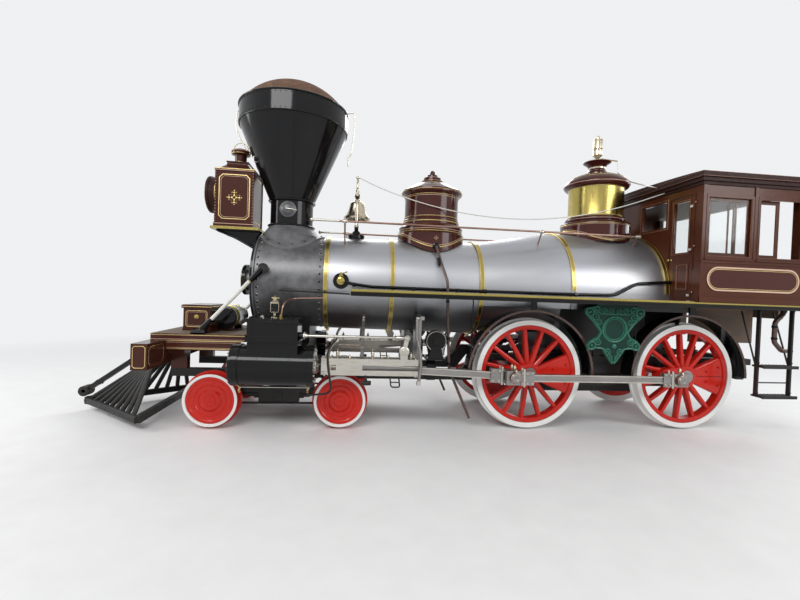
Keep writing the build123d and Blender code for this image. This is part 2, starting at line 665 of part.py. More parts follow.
# Cab roof: a shallow arch on a deep cornice
ROOF_REACH = 62.0           # how far the roof stands out from the cab's sides
SOFFIT_Z = EAVES_Z + 39.0
CORNICE = (
    # how far the step stands out from the walls, its low and high z
    (40.0, 3325.0, SOFFIT_Z + 1.0),
    (18.0, 3285.0, 3326.0),
)
with BuildPart() as cab_roof:
    with BuildSketch(cross_plane(ROOF_X[0])):
        with BuildLine():
            outer = CAB_Y + ROOF_REACH
            ThreePointArc((-outer, ROOF_EDGE_Z), (0, ROOF_TOP_Z), (outer, ROOF_EDGE_Z))
            Line((outer, ROOF_EDGE_Z), (outer, SOFFIT_Z))
            Line((outer, SOFFIT_Z), (-outer, SOFFIT_Z))
            Line((-outer, SOFFIT_Z), (-outer, ROOF_EDGE_Z))
        make_face()
    extrude(amount=ROOF_X[1] - ROOF_X[0])
    for side in SIDES:
        block(
            (CAB_REAR_X, CAB_FRONT_X),
            (side * (CAB_Y - WALL), side * CAB_Y),
            (EAVES_Z, SOFFIT_Z + 1.0),
        )
    block(
        (CAB_FRONT_X - WALL, CAB_FRONT_X),
        (-CAB_Y + WALL, CAB_Y - WALL),
        (EAVES_Z, SOFFIT_Z + 1.0),
    )
    for reach, low, high in CORNICE:
        for side in SIDES:
            block(
                (CAB_REAR_X, CAB_FRONT_X + reach),
                (side * CAB_Y, side * (CAB_Y + reach)),
                (low, high),
            )
        block((CAB_FRONT_X, CAB_FRONT_X + reach), (-CAB_Y, CAB_Y), (low, high))
write(cab_roof, "cab_roof")

# Cab floor behind the firebox, with a sheet hung under it inside each rear wheel
with BuildPart() as cab_floor:
    block((BOARD_X[0], BACKHEAD_X - 6.0), (-878.0, 878.0), (FLOOR_Z - 50.0, FLOOR_Z))
    block((BOARD_X[0], BOARD_X[0] + 80.0), (-878.0, 878.0), (FLOOR_Z - 200.0, FLOOR_Z - 50.0))
    for side in SIDES:
        block(
            (MAIN_X - 3500.0, MAIN_X - 2480.0),
            (side * 600.0, side * 620.0),
            (1222.0, FLOOR_Z - 50.0),
        )
write(cab_floor, "cab_floor")

# Fixed panes of the cab
PANE = 8.0
with BuildPart() as cab_glass:
    for side in SIDES:
        block(
            (CAB_FRONT_X - 28.0, CAB_FRONT_X - 28.0 + PANE),
            (side * (FRONT_WINDOW_Y[0] + 0.5), side * (FRONT_WINDOW_Y[1] - 0.5)),
            (FRONT_WINDOW_Z[0] + 0.5, FRONT_WINDOW_Z[1] - 0.5),
        )
        block(
            (WINDOWS[0][0] + 0.5, WINDOWS[0][1] - 0.5),
            (side * (CAB_Y - 28.0), side * (CAB_Y - 28.0 + PANE)),
            (WINDOW_Z[0] + 0.5, WINDOW_Z[1] - 0.5),
        )
write(cab_glass, "cab_glass")

# Front doors of the cab, hinged at their outer edges
LEAF_GAP = 6.0
for side, name in ((LEFT, "cab_door_left"), (RIGHT, "cab_door_right")):
    y = (side * (DOOR_Y[0] + LEAF_GAP), side * (DOOR_Y[1] - LEAF_GAP))
    with BuildPart() as cab_door:
        block((CAB_FRONT_X - 38.0, CAB_FRONT_X), y, (DOOR_Z[0], DOOR_Z[1] - LEAF_GAP))
        cut_block(
            (CAB_FRONT_X - 39.0, CAB_FRONT_X + 1.0),
            (y[0] + side * 62.0, y[1] - side * 62.0),
            (2445.0, 3120.0),
        )
        cut_block(
            (CAB_FRONT_X - 39.0, CAB_FRONT_X + 1.0),
            (side * 800.0, side * (DOOR_STEP[0] + LEAF_GAP)),
            (DOOR_Z[0] - 1.0, DOOR_STEP[1] + LEAF_GAP),
        )
        for z in CAB_HINGE_Z:
            turned_z(CAB_HINGE_X, side * CAB_HINGE_Y, CAB_KNUCKLE_R, (z - 41.0, z - 1.0))
            block(
                (CAB_FRONT_X, CAB_FRONT_X + 10.0),
                (side * (DOOR_Y[1] - 60.0), side * CAB_HINGE_Y),
                (z - 41.0, z - 1.0),
            )
    write(cab_door, name)

# Seat boxes in the cab
with BuildPart() as seat_boxes:
    for side in SIDES:
        block(
            (CAB_REAR_X + 120.0, CAB_FRONT_X - WALL - 480.0),
            (side * (FIREBOX_R + 40.0), side * (CAB_Y - WALL)),
            (FLOOR_Z, FLOOR_Z + 520.0),
        )
write(seat_boxes, "seat_boxes")

# Backhead fittings: fire door, gauge, throttle and reverse lever
with BuildPart() as backhead_fittings:
    block((BACKHEAD_X - 40.0, BACKHEAD_X), (-210.0, 210.0), (1860.0, 2160.0))
    turned_x(0, 2520.0, 120.0, (BACKHEAD_X - 70.0, BACKHEAD_X))
    turned_x(250.0, 2360.0, 45.0, (BACKHEAD_X - 90.0, BACKHEAD_X))
    block((BACKHEAD_X - 110.0, BACKHEAD_X - 90.0), (-60.0, 480.0), (2340.0, 2380.0))
    turned_x(250.0, 2360.0, 14.0, (BACKHEAD_X - 95.0, BACKHEAD_X - 60.0))
write(backhead_fittings, "backhead_fittings")

# Pilot beam with the lugs of the push bar, and the deck behind it
PUSH_HINGE = (BEAM_X[1] + 85.0, 1040.0)
PUSH_PIN_R = 21.0
with BuildPart() as pilot_beam:
    block(BEAM_X, (-1150.0, 1150.0), (790.0, 1090.0))
    block((MAIN_X + 3735.0, BEAM_X[0]), (-700.0, 700.0), (1128.0, DECK_Z))
    for side in SIDES:
        block((MAIN_X + 3805.0, BEAM_X[0]), (side * 620.0, side * 700.0), (965.0, 1128.0))
        block((MAIN_X + 3735.0, MAIN_X + 3806.0), (side * 620.0, side * 700.0), (1085.0, 1128.0))
        block((BEAM_X[0] - 200.0, BEAM_X[0]), (side * FRAME_Y[0], side * FRAME_Y[1]), (702.0, 965.0))
        block((BEAM_X[0] - 200.0, BEAM_X[0]), (side * FRAME_Y[0], side * 621.0), (900.0, 965.0))
    block((BEAM_X[0], BEAM_X[1]), (-700.0, 700.0), (1090.0, DECK_Z))
    for side in SIDES:
        block(
            (BEAM_X[1], PUSH_HINGE[0] + 32.0),
            (side * 64.0, side * 90.0),
            (PUSH_HINGE[1] - 38.0, PUSH_HINGE[1] + 38.0),
        )
    turned_y(PUSH_HINGE[0], PUSH_HINGE[1], PUSH_PIN_R, (-98.0, 98.0))
write(pilot_beam, "pilot_beam")

# Pilot: a vee of slanted bars from a low frame up to the beam
TIP_X = MAIN_X + 6020.0
PILOT_HALF = 880.0
PILOT_LOW_Z = 135.0
PILOT_BACK_X = BEAM_X[1] + 45.0
PILOT_TOP_HALF = 420.0
PILOT_BARS = 9
with BuildPart() as pilot:
    block((BEAM_X[1], BEAM_X[1] + 60.0), (-PILOT_TOP_HALF - 30.0, PILOT_TOP_HALF + 30.0), (800.0, 960.0))
    for side in SIDES:
        corner = (PILOT_BACK_X, side * PILOT_HALF, PILOT_LOW_Z)
        tip = (TIP_X, 0.0, PILOT_LOW_Z)
        add(bar(corner, tip, 70.0, 90.0))
        for number in range(PILOT_BARS):
            share = (number + 0.35) / PILOT_BARS
            foot = (
                TIP_X + (PILOT_BACK_X - TIP_X) * share,
                side * PILOT_HALF * share,
                PILOT_LOW_Z,
            )
            head = (PILOT_BACK_X, side * PILOT_TOP_HALF * share, 880.0)
            add(bar(foot, head, 42.0, 58.0))
    block(
        (PILOT_BACK_X - 35.0, PILOT_BACK_X + 35.0),
        (-PILOT_HALF, PILOT_HALF),
        (PILOT_LOW_Z - 45.0, PILOT_LOW_Z + 45.0),
    )
    with Locations((TIP_X - 30.0, 0, PILOT_LOW_Z)):
        Cylinder(60.0, 110.0)
write(pilot, "pilot")

# Push bar: hinged on the beam, its nose lies over the pilot's tip
PUSH_NOSE = (FRONT_X - 70.0, 272.0)
with BuildPart() as push_bar:
    add(bar((PUSH_HINGE[0], 0, PUSH_HINGE[1]), (PUSH_NOSE[0], 0, PUSH_NOSE[1]), 90.0, 60.0))
    turned_y(PUSH_HINGE[0], PUSH_HINGE[1], 50.0, (-60.0, 60.0))
    turned_y(PUSH_NOSE[0], PUSH_NOSE[1], 70.0, (-70.0, 70.0))
    turned_y(PUSH_HINGE[0], PUSH_HINGE[1], PUSH_PIN_R + 1.0, (-61.0, 61.0), Mode.SUBTRACT)
write(push_bar, "push_bar")

# Tool box, cross bar and drum on the deck
DECK_BAR_X = (MAIN_X + 4205.0, MAIN_X + 4275.0)
DECK_DRUM = (MAIN_X + 4110.0, 1360.0)
DECK_DRUM_R = 152.0
with BuildPart() as deck_box:
    block((MAIN_X + 4310.0, MAIN_X + 4650.0), (-310.0, 310.0), (DECK_Z, 1475.0))
    block((MAIN_X + 4290.0, MAIN_X + 4670.0), (-330.0, 330.0), (1475.0, 1515.0))
    block(DECK_BAR_X, (-610.0, 610.0), (DECK_Z, 1285.0))
    turned_y(*DECK_DRUM, DECK_DRUM_R, (-300.0, 300.0))
    for side in SIDES:
        block(
            (DECK_DRUM[0] - 90.0, DECK_DRUM[0] + 90.0),
            (side * 180.0, side * 240.0),
            (DECK_Z, DECK_DRUM[1]),
        )
write(deck_box, "deck_box")

# Braces from the smokebox to the deck
BRACE_TOP = (MAIN_X + 3540.0, 700.0, 2040.0)
BRACE_FOOT = (MAIN_X + 4300.0, 665.0, 1215.0)
with BuildPart() as braces:
    for side in SIDES:
        top = (BRACE_TOP[0], side * BRACE_TOP[1], BRACE_TOP[2])
        foot = (BRACE_FOOT[0], side * BRACE_FOOT[1], BRACE_FOOT[2])
        add(rod(top, foot, 24.0))
        turned_y(top[0], top[2], 60.0, (side * (BRACE_TOP[1] - 30.0), side * (BRACE_TOP[1] + 22.0)))
        turned_y(top[0], top[2], 42.0, (side * 560.0, side * BRACE_TOP[1]))
        block(
            (MAIN_X + 4240.0, MAIN_X + 4400.0),
            (side * 620.0, side * 700.0),
            (DECK_Z, 1225.0),
        )
    turned_x(0, BOILER_Z, SMOKEBOX_R + 0.5, (MAIN_X + 3400.0, MAIN_X + 3665.0), Mode.SUBTRACT)
write(braces, "braces")

# Guide bars: two outer and two inner bars each side, held at the front by a block
GUIDE_X = (MAIN_X + 1550.0, MAIN_X + 2661.0)
SLOT = 32.0
BAR_OUT_Y = (1034.0, 1080.0)
BAR_IN_Y = (880.0, 926.0)
TOP_BAR_Z = (CYL_Z + SLOT, CYL_Z + 110.0)
LOW_BAR_Z = (CYL_Z - 95.0, CYL_Z - SLOT)
with BuildPart() as guides:
    for side in SIDES:
        for y in (BAR_OUT_Y, BAR_IN_Y):
            for z in (TOP_BAR_Z, LOW_BAR_Z):
                block(GUIDE_X, (side * y[0], side * y[1]), z)
        block(
            (GUIDE_X[1] - 40.0, CYL_X[0] - 80.0),
            (side * BAR_IN_Y[0], side * (BAR_OUT_Y[0] + 12.0)),
            (LOW_BAR_Z[0], TOP_BAR_Z[1]),
        )
        turned_x(side * CYL_Y, CYL_Z, 36.0, (GUIDE_X[1] - 50.0, CYL_X[0]), Mode.SUBTRACT)
write(guides, "guides")

# Guide yokes: a plate from the frame with a bent bar hung outside; ahead of them a flat hanger
YOKE_X = (MAIN_X + 1500.0, MAIN_X + 1549.0)
YOKE_BAR = (
    # x and z of its middle line, top to bottom
    (MAIN_X + 1522.0, 1478.0),
    (MAIN_X + 1588.0, 1478.0),
    (MAIN_X + 1582.0, 1230.0),
    (MAIN_X + 1530.0, 1050.0),
    (MAIN_X + 1518.0, 880.0),
    (MAIN_X + 1544.0, 650.0),
)
YOKE_BAR_R = 19.0
YOKE_BAR_Y = 1102.0
YOKE_ARM_Z = (1455.0, 1500.0)
YOKE_BAR_BENDS = (40.0, 200.0, 200.0, 250.0)
HANGER_TOP = (MAIN_X + 2232.0, 520.0, 1480.0)
HANGER_FOOT = (MAIN_X + 2247.0, 903.0, 950.0)
with BuildPart() as yokes:
    for side in SIDES:
        block(YOKE_X, (side * FRAME_Y[1], side * BAR_IN_Y[1]), (700.0, 1500.0))
        block(YOKE_X, (side * BAR_IN_Y[1], side * (YOKE_BAR_Y + 26.0)), YOKE_ARM_Z)
        route = [(x, side * YOKE_BAR_Y, z) for x, z in YOKE_BAR]
        add(tube(route, list(YOKE_BAR_BENDS), YOKE_BAR_R))
        top = (HANGER_TOP[0], side * HANGER_TOP[1], HANGER_TOP[2])
        foot = (HANGER_FOOT[0], side * HANGER_FOOT[1], HANGER_FOOT[2])
        add(bar(foot, top, 44.0, 18.0))
    turned_x(0, BOILER_Z, JACKET_R, (YOKE_X[0] - 1.0, YOKE_X[1] + 1.0), Mode.SUBTRACT)
    turned_x(0, BOILER_Z, 662.0, (HANGER_TOP[0] - 60.0, HANGER_TOP[0] + 60.0), Mode.SUBTRACT)
    for side in SIDES:
        cut_block(
            (HANGER_FOOT[0] - 60.0, HANGER_FOOT[0] + 60.0),
            (side * 860.0, side * 935.0),
            (900.0, TOP_BAR_Z[1]),
        )
write(yokes, "yokes")


# Rods: the left crank is straight ahead, the right crank is straight up
ROD_LENGTH = math.hypot(WRIST_X - MAIN_X - THROW, CYL_Z - DRIVER_Z)
RIGHT_WRIST_X = MAIN_X + math.sqrt(ROD_LENGTH**2 - (CYL_Z - DRIVER_Z - THROW) ** 2)
CRANKS = (
    # side, name, crank pin x and z from the axle, wrist pin x
    (LEFT, "left", THROW, 0.0, WRIST_X),
    (RIGHT, "right", 0.0, THROW, RIGHT_WRIST_X),
)

STUB_REACH = (-110.0, 290.0)    # the rods' stub ends, behind and ahead of the pin
SIDE_STUB_REACH = (110.0, 250.0)
STUB_HALF = 90.0
STUB_THICK = 80.0

with BuildPart() as crossheads:
    for side, _, _, _, wrist in CRANKS:
        front = (wrist + 95.0, wrist + 160.0)
        for y in (BAR_OUT_Y, BAR_IN_Y):
            block((wrist - 160.0, wrist + 160.0), (side * y[0], side * y[1]), (CYL_Z - SLOT, CYL_Z + SLOT))
        block(front, (side * BAR_IN_Y[0], side * BAR_OUT_Y[1]), (CYL_Z - SLOT, CYL_Z + SLOT))
        turned_x(side * CYL_Y, CYL_Z, 30.0, (front[1], CYL_X[0] + 150.0))
write(crossheads, "crossheads")

for side, name, pin_x, pin_z, wrist in CRANKS:
    pin = (MAIN_X + pin_x, DRIVER_Z + pin_z)
    eye = (wrist, CYL_Z)
    with BuildPart() as main_rod:
        add(bar((pin[0], side * CYL_Y, pin[1]), (eye[0], side * CYL_Y, eye[1]), 52.0, 92.0))
        ahead_x, ahead_z = (eye[0] - pin[0]) / ROD_LENGTH, (eye[1] - pin[1]) / ROD_LENGTH
        stub = [
            (pin[0] + ahead_x * reach, side * CYL_Y, pin[1] + ahead_z * reach)
            for reach in STUB_REACH
        ]
        add(bar(stub[0], stub[1], STUB_THICK, 2 * STUB_HALF))
        turned_y(eye[0], eye[1], 72.0, (side * (CYL_Y - 35.0), side * (CYL_Y + 35.0)))
        bore = (side * (CYL_Y - 41.0), side * (CYL_Y + 41.0))
        turned_y(pin[0], pin[1], PIN_R + BORE_GAP, bore, Mode.SUBTRACT)
    write(main_rod, f"main_rod_{name}")

for side, name, pin_x, pin_z, _ in CRANKS:
    ends = [(axle_x + pin_x, DRIVER_Z + pin_z) for axle_x in (MAIN_X, REAR_X)]
    with BuildPart() as side_rod:
        block(
            (ends[1][0], ends[0][0]),
            (side * (SIDE_ROD_Y - 20.0), side * (SIDE_ROD_Y + 20.0)),
            (ends[0][1] - 46.0, ends[0][1] + 46.0),
        )
        for (x, z), sense in zip(ends, (-1.0, 1.0)):
            block(
                (x - sense * SIDE_STUB_REACH[0], x + sense * SIDE_STUB_REACH[1]),
                (side * (SIDE_ROD_Y - 32.0), side * (SIDE_ROD_Y + 32.0)),
                (z - STUB_HALF, z + STUB_HALF),
            )
            turned_y(x, z, SIDE_PIN_R + BORE_GAP, (side * 1000.0, side * 1200.0), Mode.SUBTRACT)
    write(side_rod, f"side_rod_{name}")


# Driving wheels: hub, crank boss, spokes, counterweight and rim, both on one axle
SPOKES = 15
RIM_IN_R = 600.0
TYRE_IN_R = 659.0
HUB_R = 150.0
WHEEL_Y = (TYRE_IN + 15.0, TYRE_OUT - 12.0)


def spoke_plane(axle_x, y, angle):
    """Upright plane at a wheel, its sketch x pointing from the axle at an angle from ahead."""
    outward = (math.cos(math.radians(angle)), 0, math.sin(math.radians(angle)))
    return Plane(origin=(axle_x, y, DRIVER_Z), x_dir=outward, z_dir=(0, -1, 0))


def web(plane, outline, thickness):
    """A flat piece with straight edges, centred on a plane."""
    with BuildPart() as piece:
        with BuildSketch(plane):
            with BuildLine():
                Polyline(*outline, close=True)
            make_face()
        extrude(amount=thickness / 2, both=True)
    return piece.part


SPOKE = ((90.0, -36.0), (620.0, -24.0), (620.0, 24.0), (90.0, 36.0))
COUNTERWEIGHT = (
    (130.0, -45.0), (540.0, -235.0), (590.0, -205.0), (620.0, -100.0),
    (620.0, 100.0), (590.0, 205.0), (540.0, 235.0), (130.0, 45.0),
)
CRANK_WEB = ((0.0, -140.0), (THROW, -100.0), (THROW, 100.0), (0.0, 140.0))


def driving_wheel(axle_x, side, pin_x, pin_z, has_main_rod):
    """One wheel centre with its crank pin."""
    middle_y = side * sum(WHEEL_Y) / 2
    crank = math.degrees(math.atan2(pin_z, pin_x))
    pin = (axle_x + pin_x, DRIVER_Z + pin_z)
    journal = SIDE_ROD_Y - 36.0
    with BuildPart() as wheel:
        turned_y(axle_x, DRIVER_Z, TYRE_IN_R, (side * WHEEL_Y[0], side * WHEEL_Y[1]))
        turned_y(axle_x, DRIVER_Z, RIM_IN_R, (side * 600.0, side * 900.0), Mode.SUBTRACT)
        for number in range(SPOKES):
            angle = crank + (number + 0.5) * 360.0 / SPOKES
            add(web(spoke_plane(axle_x, middle_y, angle), SPOKE, 60.0))
        add(web(spoke_plane(axle_x, middle_y, crank + 180.0), COUNTERWEIGHT, 90.0))
        add(web(spoke_plane(axle_x, side * 780.0, crank), CRANK_WEB, 136.0))
        turned_y(axle_x, DRIVER_Z, HUB_R, (side * 665.0, side * 850.0))
        turned_y(pin[0], pin[1], 105.0, (side * 700.0, side * 870.0))
        turned_y(pin[0], pin[1], 82.0, (side * 870.0, side * (CYL_Y - 45.0)))
        turned_y(pin[0], pin[1], PIN_R, (side * (CYL_Y - 45.0), side * journal))
        collar_y = CYL_Y + 45.0 if has_main_rod else CYL_Y - 45.0
        turned_y(pin[0], pin[1], 72.0, (side * collar_y, side * journal))
        turned_y(pin[0], pin[1], SIDE_PIN_R, (side * journal, side * (SIDE_ROD_Y + 40.0)))
        turned_y(pin[0], pin[1], 64.0, (side * (SIDE_ROD_Y + 37.0), side * (SIDE_ROD_Y + 75.0)))
    return wheel.part


for axle_x, name, has_main_rod in ((MAIN_X, "main", True), (REAR_X, "rear", False)):
    with BuildPart() as wheels:
        turned_y(axle_x, DRIVER_Z, AXLE_R, (-700.0, 700.0))
        for side, _, pin_x, pin_z, _ in CRANKS:
            add(driving_wheel(axle_x, side, pin_x, pin_z, has_main_rod))
    write(wheels, f"{name}_wheels")
    with BuildPart() as tyres:
        for side in SIDES:
            turned_y(axle_x, DRIVER_Z, DRIVER_R, (side * TYRE_IN, side * TYRE_OUT))
            turned_y(axle_x, DRIVER_Z, DRIVER_Z, (side * TYRE_IN, side * (TYRE_IN + 32.0)))
            turned_y(axle_x, DRIVER_Z, TYRE_IN_R, (side * 600.0, side * 900.0), Mode.SUBTRACT)
    write(tyres, f"{name}_tyres")

# Leading truck: inside frame with axle boxes, bolster and centre plate
TRUCK_FRAME_Y = (540.0, 620.0)
with BuildPart() as truck_frame:
    for side in SIDES:
        y = (side * TRUCK_FRAME_Y[0], side * TRUCK_FRAME_Y[1])
        reach = TRUCK_HALF + 150.0
        block((TRUCK_X - reach, TRUCK_X + reach), y, (TRUCK_Z + 60.0, TRUCK_Z + 130.0))
        for end in (-TRUCK_HALF, TRUCK_HALF):
            x = TRUCK_X + end
            block((x - 110.0, x + 110.0), y, (TRUCK_Z - 100.0, TRUCK_Z + 61.0))
            turned_y(x, TRUCK_Z, TRUCK_AXLE_R + BORE_GAP, (y[0] - side, y[1] + side), Mode.SUBTRACT)
        block((TRUCK_X - 260.0, TRUCK_X + 260.0), y, (TRUCK_Z - 60.0, TRUCK_Z + 61.0))
    across = (-TRUCK_FRAME_Y[0], TRUCK_FRAME_Y[0])
    block((TRUCK_X - 150.0, TRUCK_X + 150.0), across, (TRUCK_Z + 20.0, TRUCK_Z + 120.0))
    for end in (-TRUCK_HALF - 150.0, TRUCK_HALF + 90.0):
        block((TRUCK_X + end, TRUCK_X + end + 60.0), across, (TRUCK_Z + 70.0, TRUCK_Z + 120.0))
    turned_z(TRUCK_X, 0, 180.0, (TRUCK_Z + 119.0, 555.0))
write(truck_frame, "truck_frame")

for end, name in ((TRUCK_HALF, "truck_front"), (-TRUCK_HALF, "truck_rear")):
    x = TRUCK_X + end
    with BuildPart() as truck_wheels:
        turned_y(x, TRUCK_Z, TRUCK_AXLE_R, (-TYRE_OUT, TYRE_OUT))
        for side in SIDES:
            turned_y(x, TRUCK_Z, TRUCK_R, (side * TYRE_IN, side * TYRE_OUT))
            turned_y(x, TRUCK_Z, TRUCK_Z, (side * TYRE_IN, side * (TYRE_IN + 32.0)))
            turned_y(x, TRUCK_Z, 295.0, (side * (TYRE_OUT - 22.0), side * TYRE_OUT), Mode.SUBTRACT)
            turned_y(x, TRUCK_Z, 120.0, (side * (TYRE_IN - 25.0), side * (TYRE_OUT + 8.0)))
    write(truck_wheels, f"{name}_wheels")

# Valve gear outside the frames: valve rods, rocker arms and their bearings
ROCKER_X = MAIN_X + 1699.0
ROCKER_JOINT = (ROCKER_X + 31.0, 1058.0)
VALVE_Y = 1070.0
VALVE_Z = 1223.0
with BuildPart() as valve_gear:
    for side in SIDES:
        turned_x(side * VALVE_Y, VALVE_Z, 17.0, (ROCKER_X + 30.0, CHEST_X[0] - 70.0))
        turned_y(ROCKER_X, VALVE_Z, 38.0, (side * (VALVE_Y - 22.0), side * (VALVE_Y + 22.0)))
        foot = (ROCKER_JOINT[0], side * VALVE_Y, ROCKER_JOINT[1])
        add(bar(foot, (ROCKER_X, side * VALVE_Y, VALVE_Z), 30.0, 52.0))
        turned_y(*ROCKER_JOINT, 62.0, (side * (VALVE_Y - 20.0), side * (VALVE_Y + 20.0)))
        block(
            (ROCKER_JOINT[0] - 45.0, ROCKER_JOINT[0] + 45.0),
            (side * (VALVE_Y - 35.0), side * (VALVE_Y + 10.0)),
            (TOP_BAR_Z[1], 1030.0),
        )
write(valve_gear, "valve_gear")

# Leaf springs over the driving boxes, joined by an equalizing beam on each frame
SPRING_Y = (445.0, 515.0)
SPRING_FOOT_Z = 1012.0
LEAF = 16.0
LEAF_LENGTHS = (300.0, 440.0, 580.0, 720.0, 900.0)
SPRING_REACH = LEAF_LENGTHS[-1] / 2 - 18.0
BEAM_PIVOT_X = (MAIN_X + REAR_X) / 2
with BuildPart() as springs:
    for side in SIDES:
        y = (side * SPRING_Y[0], side * SPRING_Y[1])
        middle_y = side * sum(SPRING_Y) / 2
        for axle_x in (MAIN_X, REAR_X):
            block((axle_x - 60.0, axle_x + 60.0), y, (FRAME_TOP_Z[1], SPRING_FOOT_Z))
            for number, length in enumerate(LEAF_LENGTHS):
                low = SPRING_FOOT_Z + number * LEAF
                block((axle_x - length / 2, axle_x + length / 2), y, (low, low + LEAF))
            top = SPRING_FOOT_Z + len(LEAF_LENGTHS) * LEAF
            block(
                (axle_x - 45.0, axle_x + 45.0),
                (y[0] - side * 10.0, y[1] + side * 10.0),
                (FRAME_TOP_Z[1], top + 18.0),
            )
            for end in (-SPRING_REACH, SPRING_REACH):
                turned_z(axle_x + end, middle_y, 13.0, (FRAME_TOP_Z[1], top + 30.0))
        with BuildSketch(side_plane(middle_y)):
            with BuildLine():
                Polyline(
                    (MAIN_X - SPRING_REACH + 30.0, 980.0),
                    (MAIN_X - SPRING_REACH + 30.0, 1010.0),
                    (BEAM_PIVOT_X, 1062.0),
                    (REAR_X + SPRING_REACH - 30.0, 1010.0),
                    (REAR_X + SPRING_REACH - 30.0, 980.0),
                    close=True,
                )
            make_face()
        extrude(amount=20.0, both=True)
        block((BEAM_PIVOT_X - 50.0, BEAM_PIVOT_X + 50.0), y, (FRAME_TOP_Z[1], 1040.0))
write(springs, "springs")

# Spring drums of the lifting gear, each on a pedestal outside the frame
DRUM_X = MAIN_X + 1292.0
DRUM_Z = 1170.0
DRUM_FOOT_Z = (925.0, 947.0)
with BuildPart() as spring_drums:
    for side in SIDES:
        turned_y(DRUM_X, DRUM_Z, 140.0, (side * 790.0, side * 872.0))
        turned_y(DRUM_X, DRUM_Z, 48.0, (side * 700.0, side * 905.0))
        with BuildSketch(side_plane(side * 835.0)):
            with BuildLine():
                Polyline(
                    (DRUM_X - 105.0, DRUM_FOOT_Z[1]),
                    (DRUM_X + 105.0, DRUM_FOOT_Z[1]),
                    (DRUM_X + 58.0, DRUM_Z - 70.0),
                    (DRUM_X - 58.0, DRUM_Z - 70.0),
                    close=True,
                )
            make_face()
        extrude(amount=55.0, both=True)
        block((DRUM_X - 125.0, DRUM_X + 125.0), (side * FRAME_Y[1], side * 900.0), DRUM_FOOT_Z)
        block(
            (DRUM_X - 60.0, DRUM_X + 60.0),
            (side * FRAME_Y[1], side * (FRAME_Y[1] + 40.0)),
            (FRONT_RAIL_Z[0], DRUM_FOOT_Z[0]),
        )
write(spring_drums, "spring_drums")

# Feed pipes from the cab along the boards to a check valve on each side of the barrel
CHECK_X = MAIN_X + 2550.0
CHECK_Z = 1909.0
CHECK_SEAT_R = 657.0        # jacket radius behind the valves
with BuildPart() as feed_pipes:
    for side in SIDES:
        turned_y(CHECK_X, CHECK_Z, 104.0, (side * 620.0, side * 684.0))
        turned_y(CHECK_X, CHECK_Z, 48.0, (side * 680.0, side * 762.0))
        turned_y(CHECK_X, CHECK_Z, 62.0, (side * 762.0, side * 778.0))
        route = (
            (CHECK_X - 20.0, side * 728.0, 1903.0),
            (MAIN_X + 2390.0, side * 726.0, 1873.0),
            (MAIN_X + 2150.0, side * 726.0, 1846.0),
            (MAIN_X + 600.0, side * 730.0, 1841.0),
            (MAIN_X - 560.0, side * 916.0, 1843.0),
            (MAIN_X - 1120.0, side * 916.0, 1852.0),
            (MAIN_X - 1440.0, side * 898.0, 2020.0),
            (CAB_FRONT_X + 3.0, side * 892.0, 2060.0),
        )
        add(tube(route, [150.0, 300.0, 900.0, 900.0, 250.0, 250.0], 21.0))
    turned_x(0, BOILER_Z, CHECK_SEAT_R, (CHECK_X - 110.0, CHECK_X + 110.0), Mode.SUBTRACT)
write(feed_pipes, "feed_pipes")

# Sand pipes down to the main driving wheels, and the waste pipes behind the rear wheels
with BuildPart() as pipes:
    for side in SIDES:
        route = (
            (SAND_X, side * 512.0, 2440.0),
            (SAND_X - 60.0, side * 700.0, 2150.0),
            (SAND_X - 115.0, side * 800.0, 1950.0),
            (SAND_X - 135.0, side * 800.0, 1450.0),
            (SAND_X - 178.0, side * 790.0, 800.0),
            (MAIN_X + 790.0, side * 770.0, 140.0),
        )
        add(tube(route, [120.0, 200.0, 250.0, 250.0], 19.0))
        waste = (
            (MAIN_X - 3500.0, side * 1060.0, FLOOR_Z - BOARD_T),
            (MAIN_X - 3500.0, side * 1060.0, 1690.0),
            (MAIN_X - 3372.0, side * 1060.0, 1560.0),
            (MAIN_X - 3372.0, side * 1060.0, 1290.0),
            (MAIN_X - 3490.0, side * 1060.0, 1172.0),
            (MAIN_X - 3640.0, side * 1060.0, 1172.0),
        )
        add(tube(waste, [60.0, 90.0, 90.0, 60.0], 30.0))
write(pipes, "pipes")

# Steps below the cab
STEP_X = MAIN_X - 3270.0
STEP_HALF = 245.0
with BuildPart() as steps:
    for side in SIDES:
        for x in (-STEP_HALF, STEP_HALF):
            block(
                (STEP_X + x - 12.0, STEP_X + x + 12.0),
                (side * 1130.0, side * 1180.0),
                (560.0, FLOOR_Z - BOARD_T),
            )
        for z in (560.0, 960.0):
            block(
                (STEP_X - STEP_HALF - 12.0, STEP_X + STEP_HALF + 12.0),
                (side * 1100.0, side * 1260.0),
                (z, z + 24.0),
            )
write(steps, "steps")

# Ornamental brackets between the driving wheels: a shield with four scrolled arms
BRACKET_X = MAIN_X - 1068.0
BRACKET_Y = 1000.0
BRACKET_EDGE = (
    # half its width and z, top to bottom
    (250.0, FLOOR_Z - BOARD_T),
    (250.0, 1700.0),
    (418.0, 1668.0),
    (379.0, 1590.0),
    (294.0, 1515.0),
    (238.0, 1440.0),
    (185.0, 1357.0),
    (221.0, 1290.0),
    (327.0, 1232.0),
    (376.0, 1168.0),
    (345.0, 1128.0),
    (205.0, 1150.0),
    (149.0, 1136.0),
    (70.0, 1080.0),
    (22.0, 990.0),
    (10.0, 937.0),
)
with BuildPart() as side_brackets:
    for side in SIDES:
        with BuildSketch(side_plane(side * BRACKET_Y)):
            with BuildLine():
                Polyline(
                    *[(BRACKET_X - half, z) for half, z in BRACKET_EDGE],
                    *[(BRACKET_X + half, z) for half, z in reversed(BRACKET_EDGE)],
                    close=True,
                )
            make_face()
        extrude(amount=12.0, both=True)
write(side_brackets, "side_brackets")

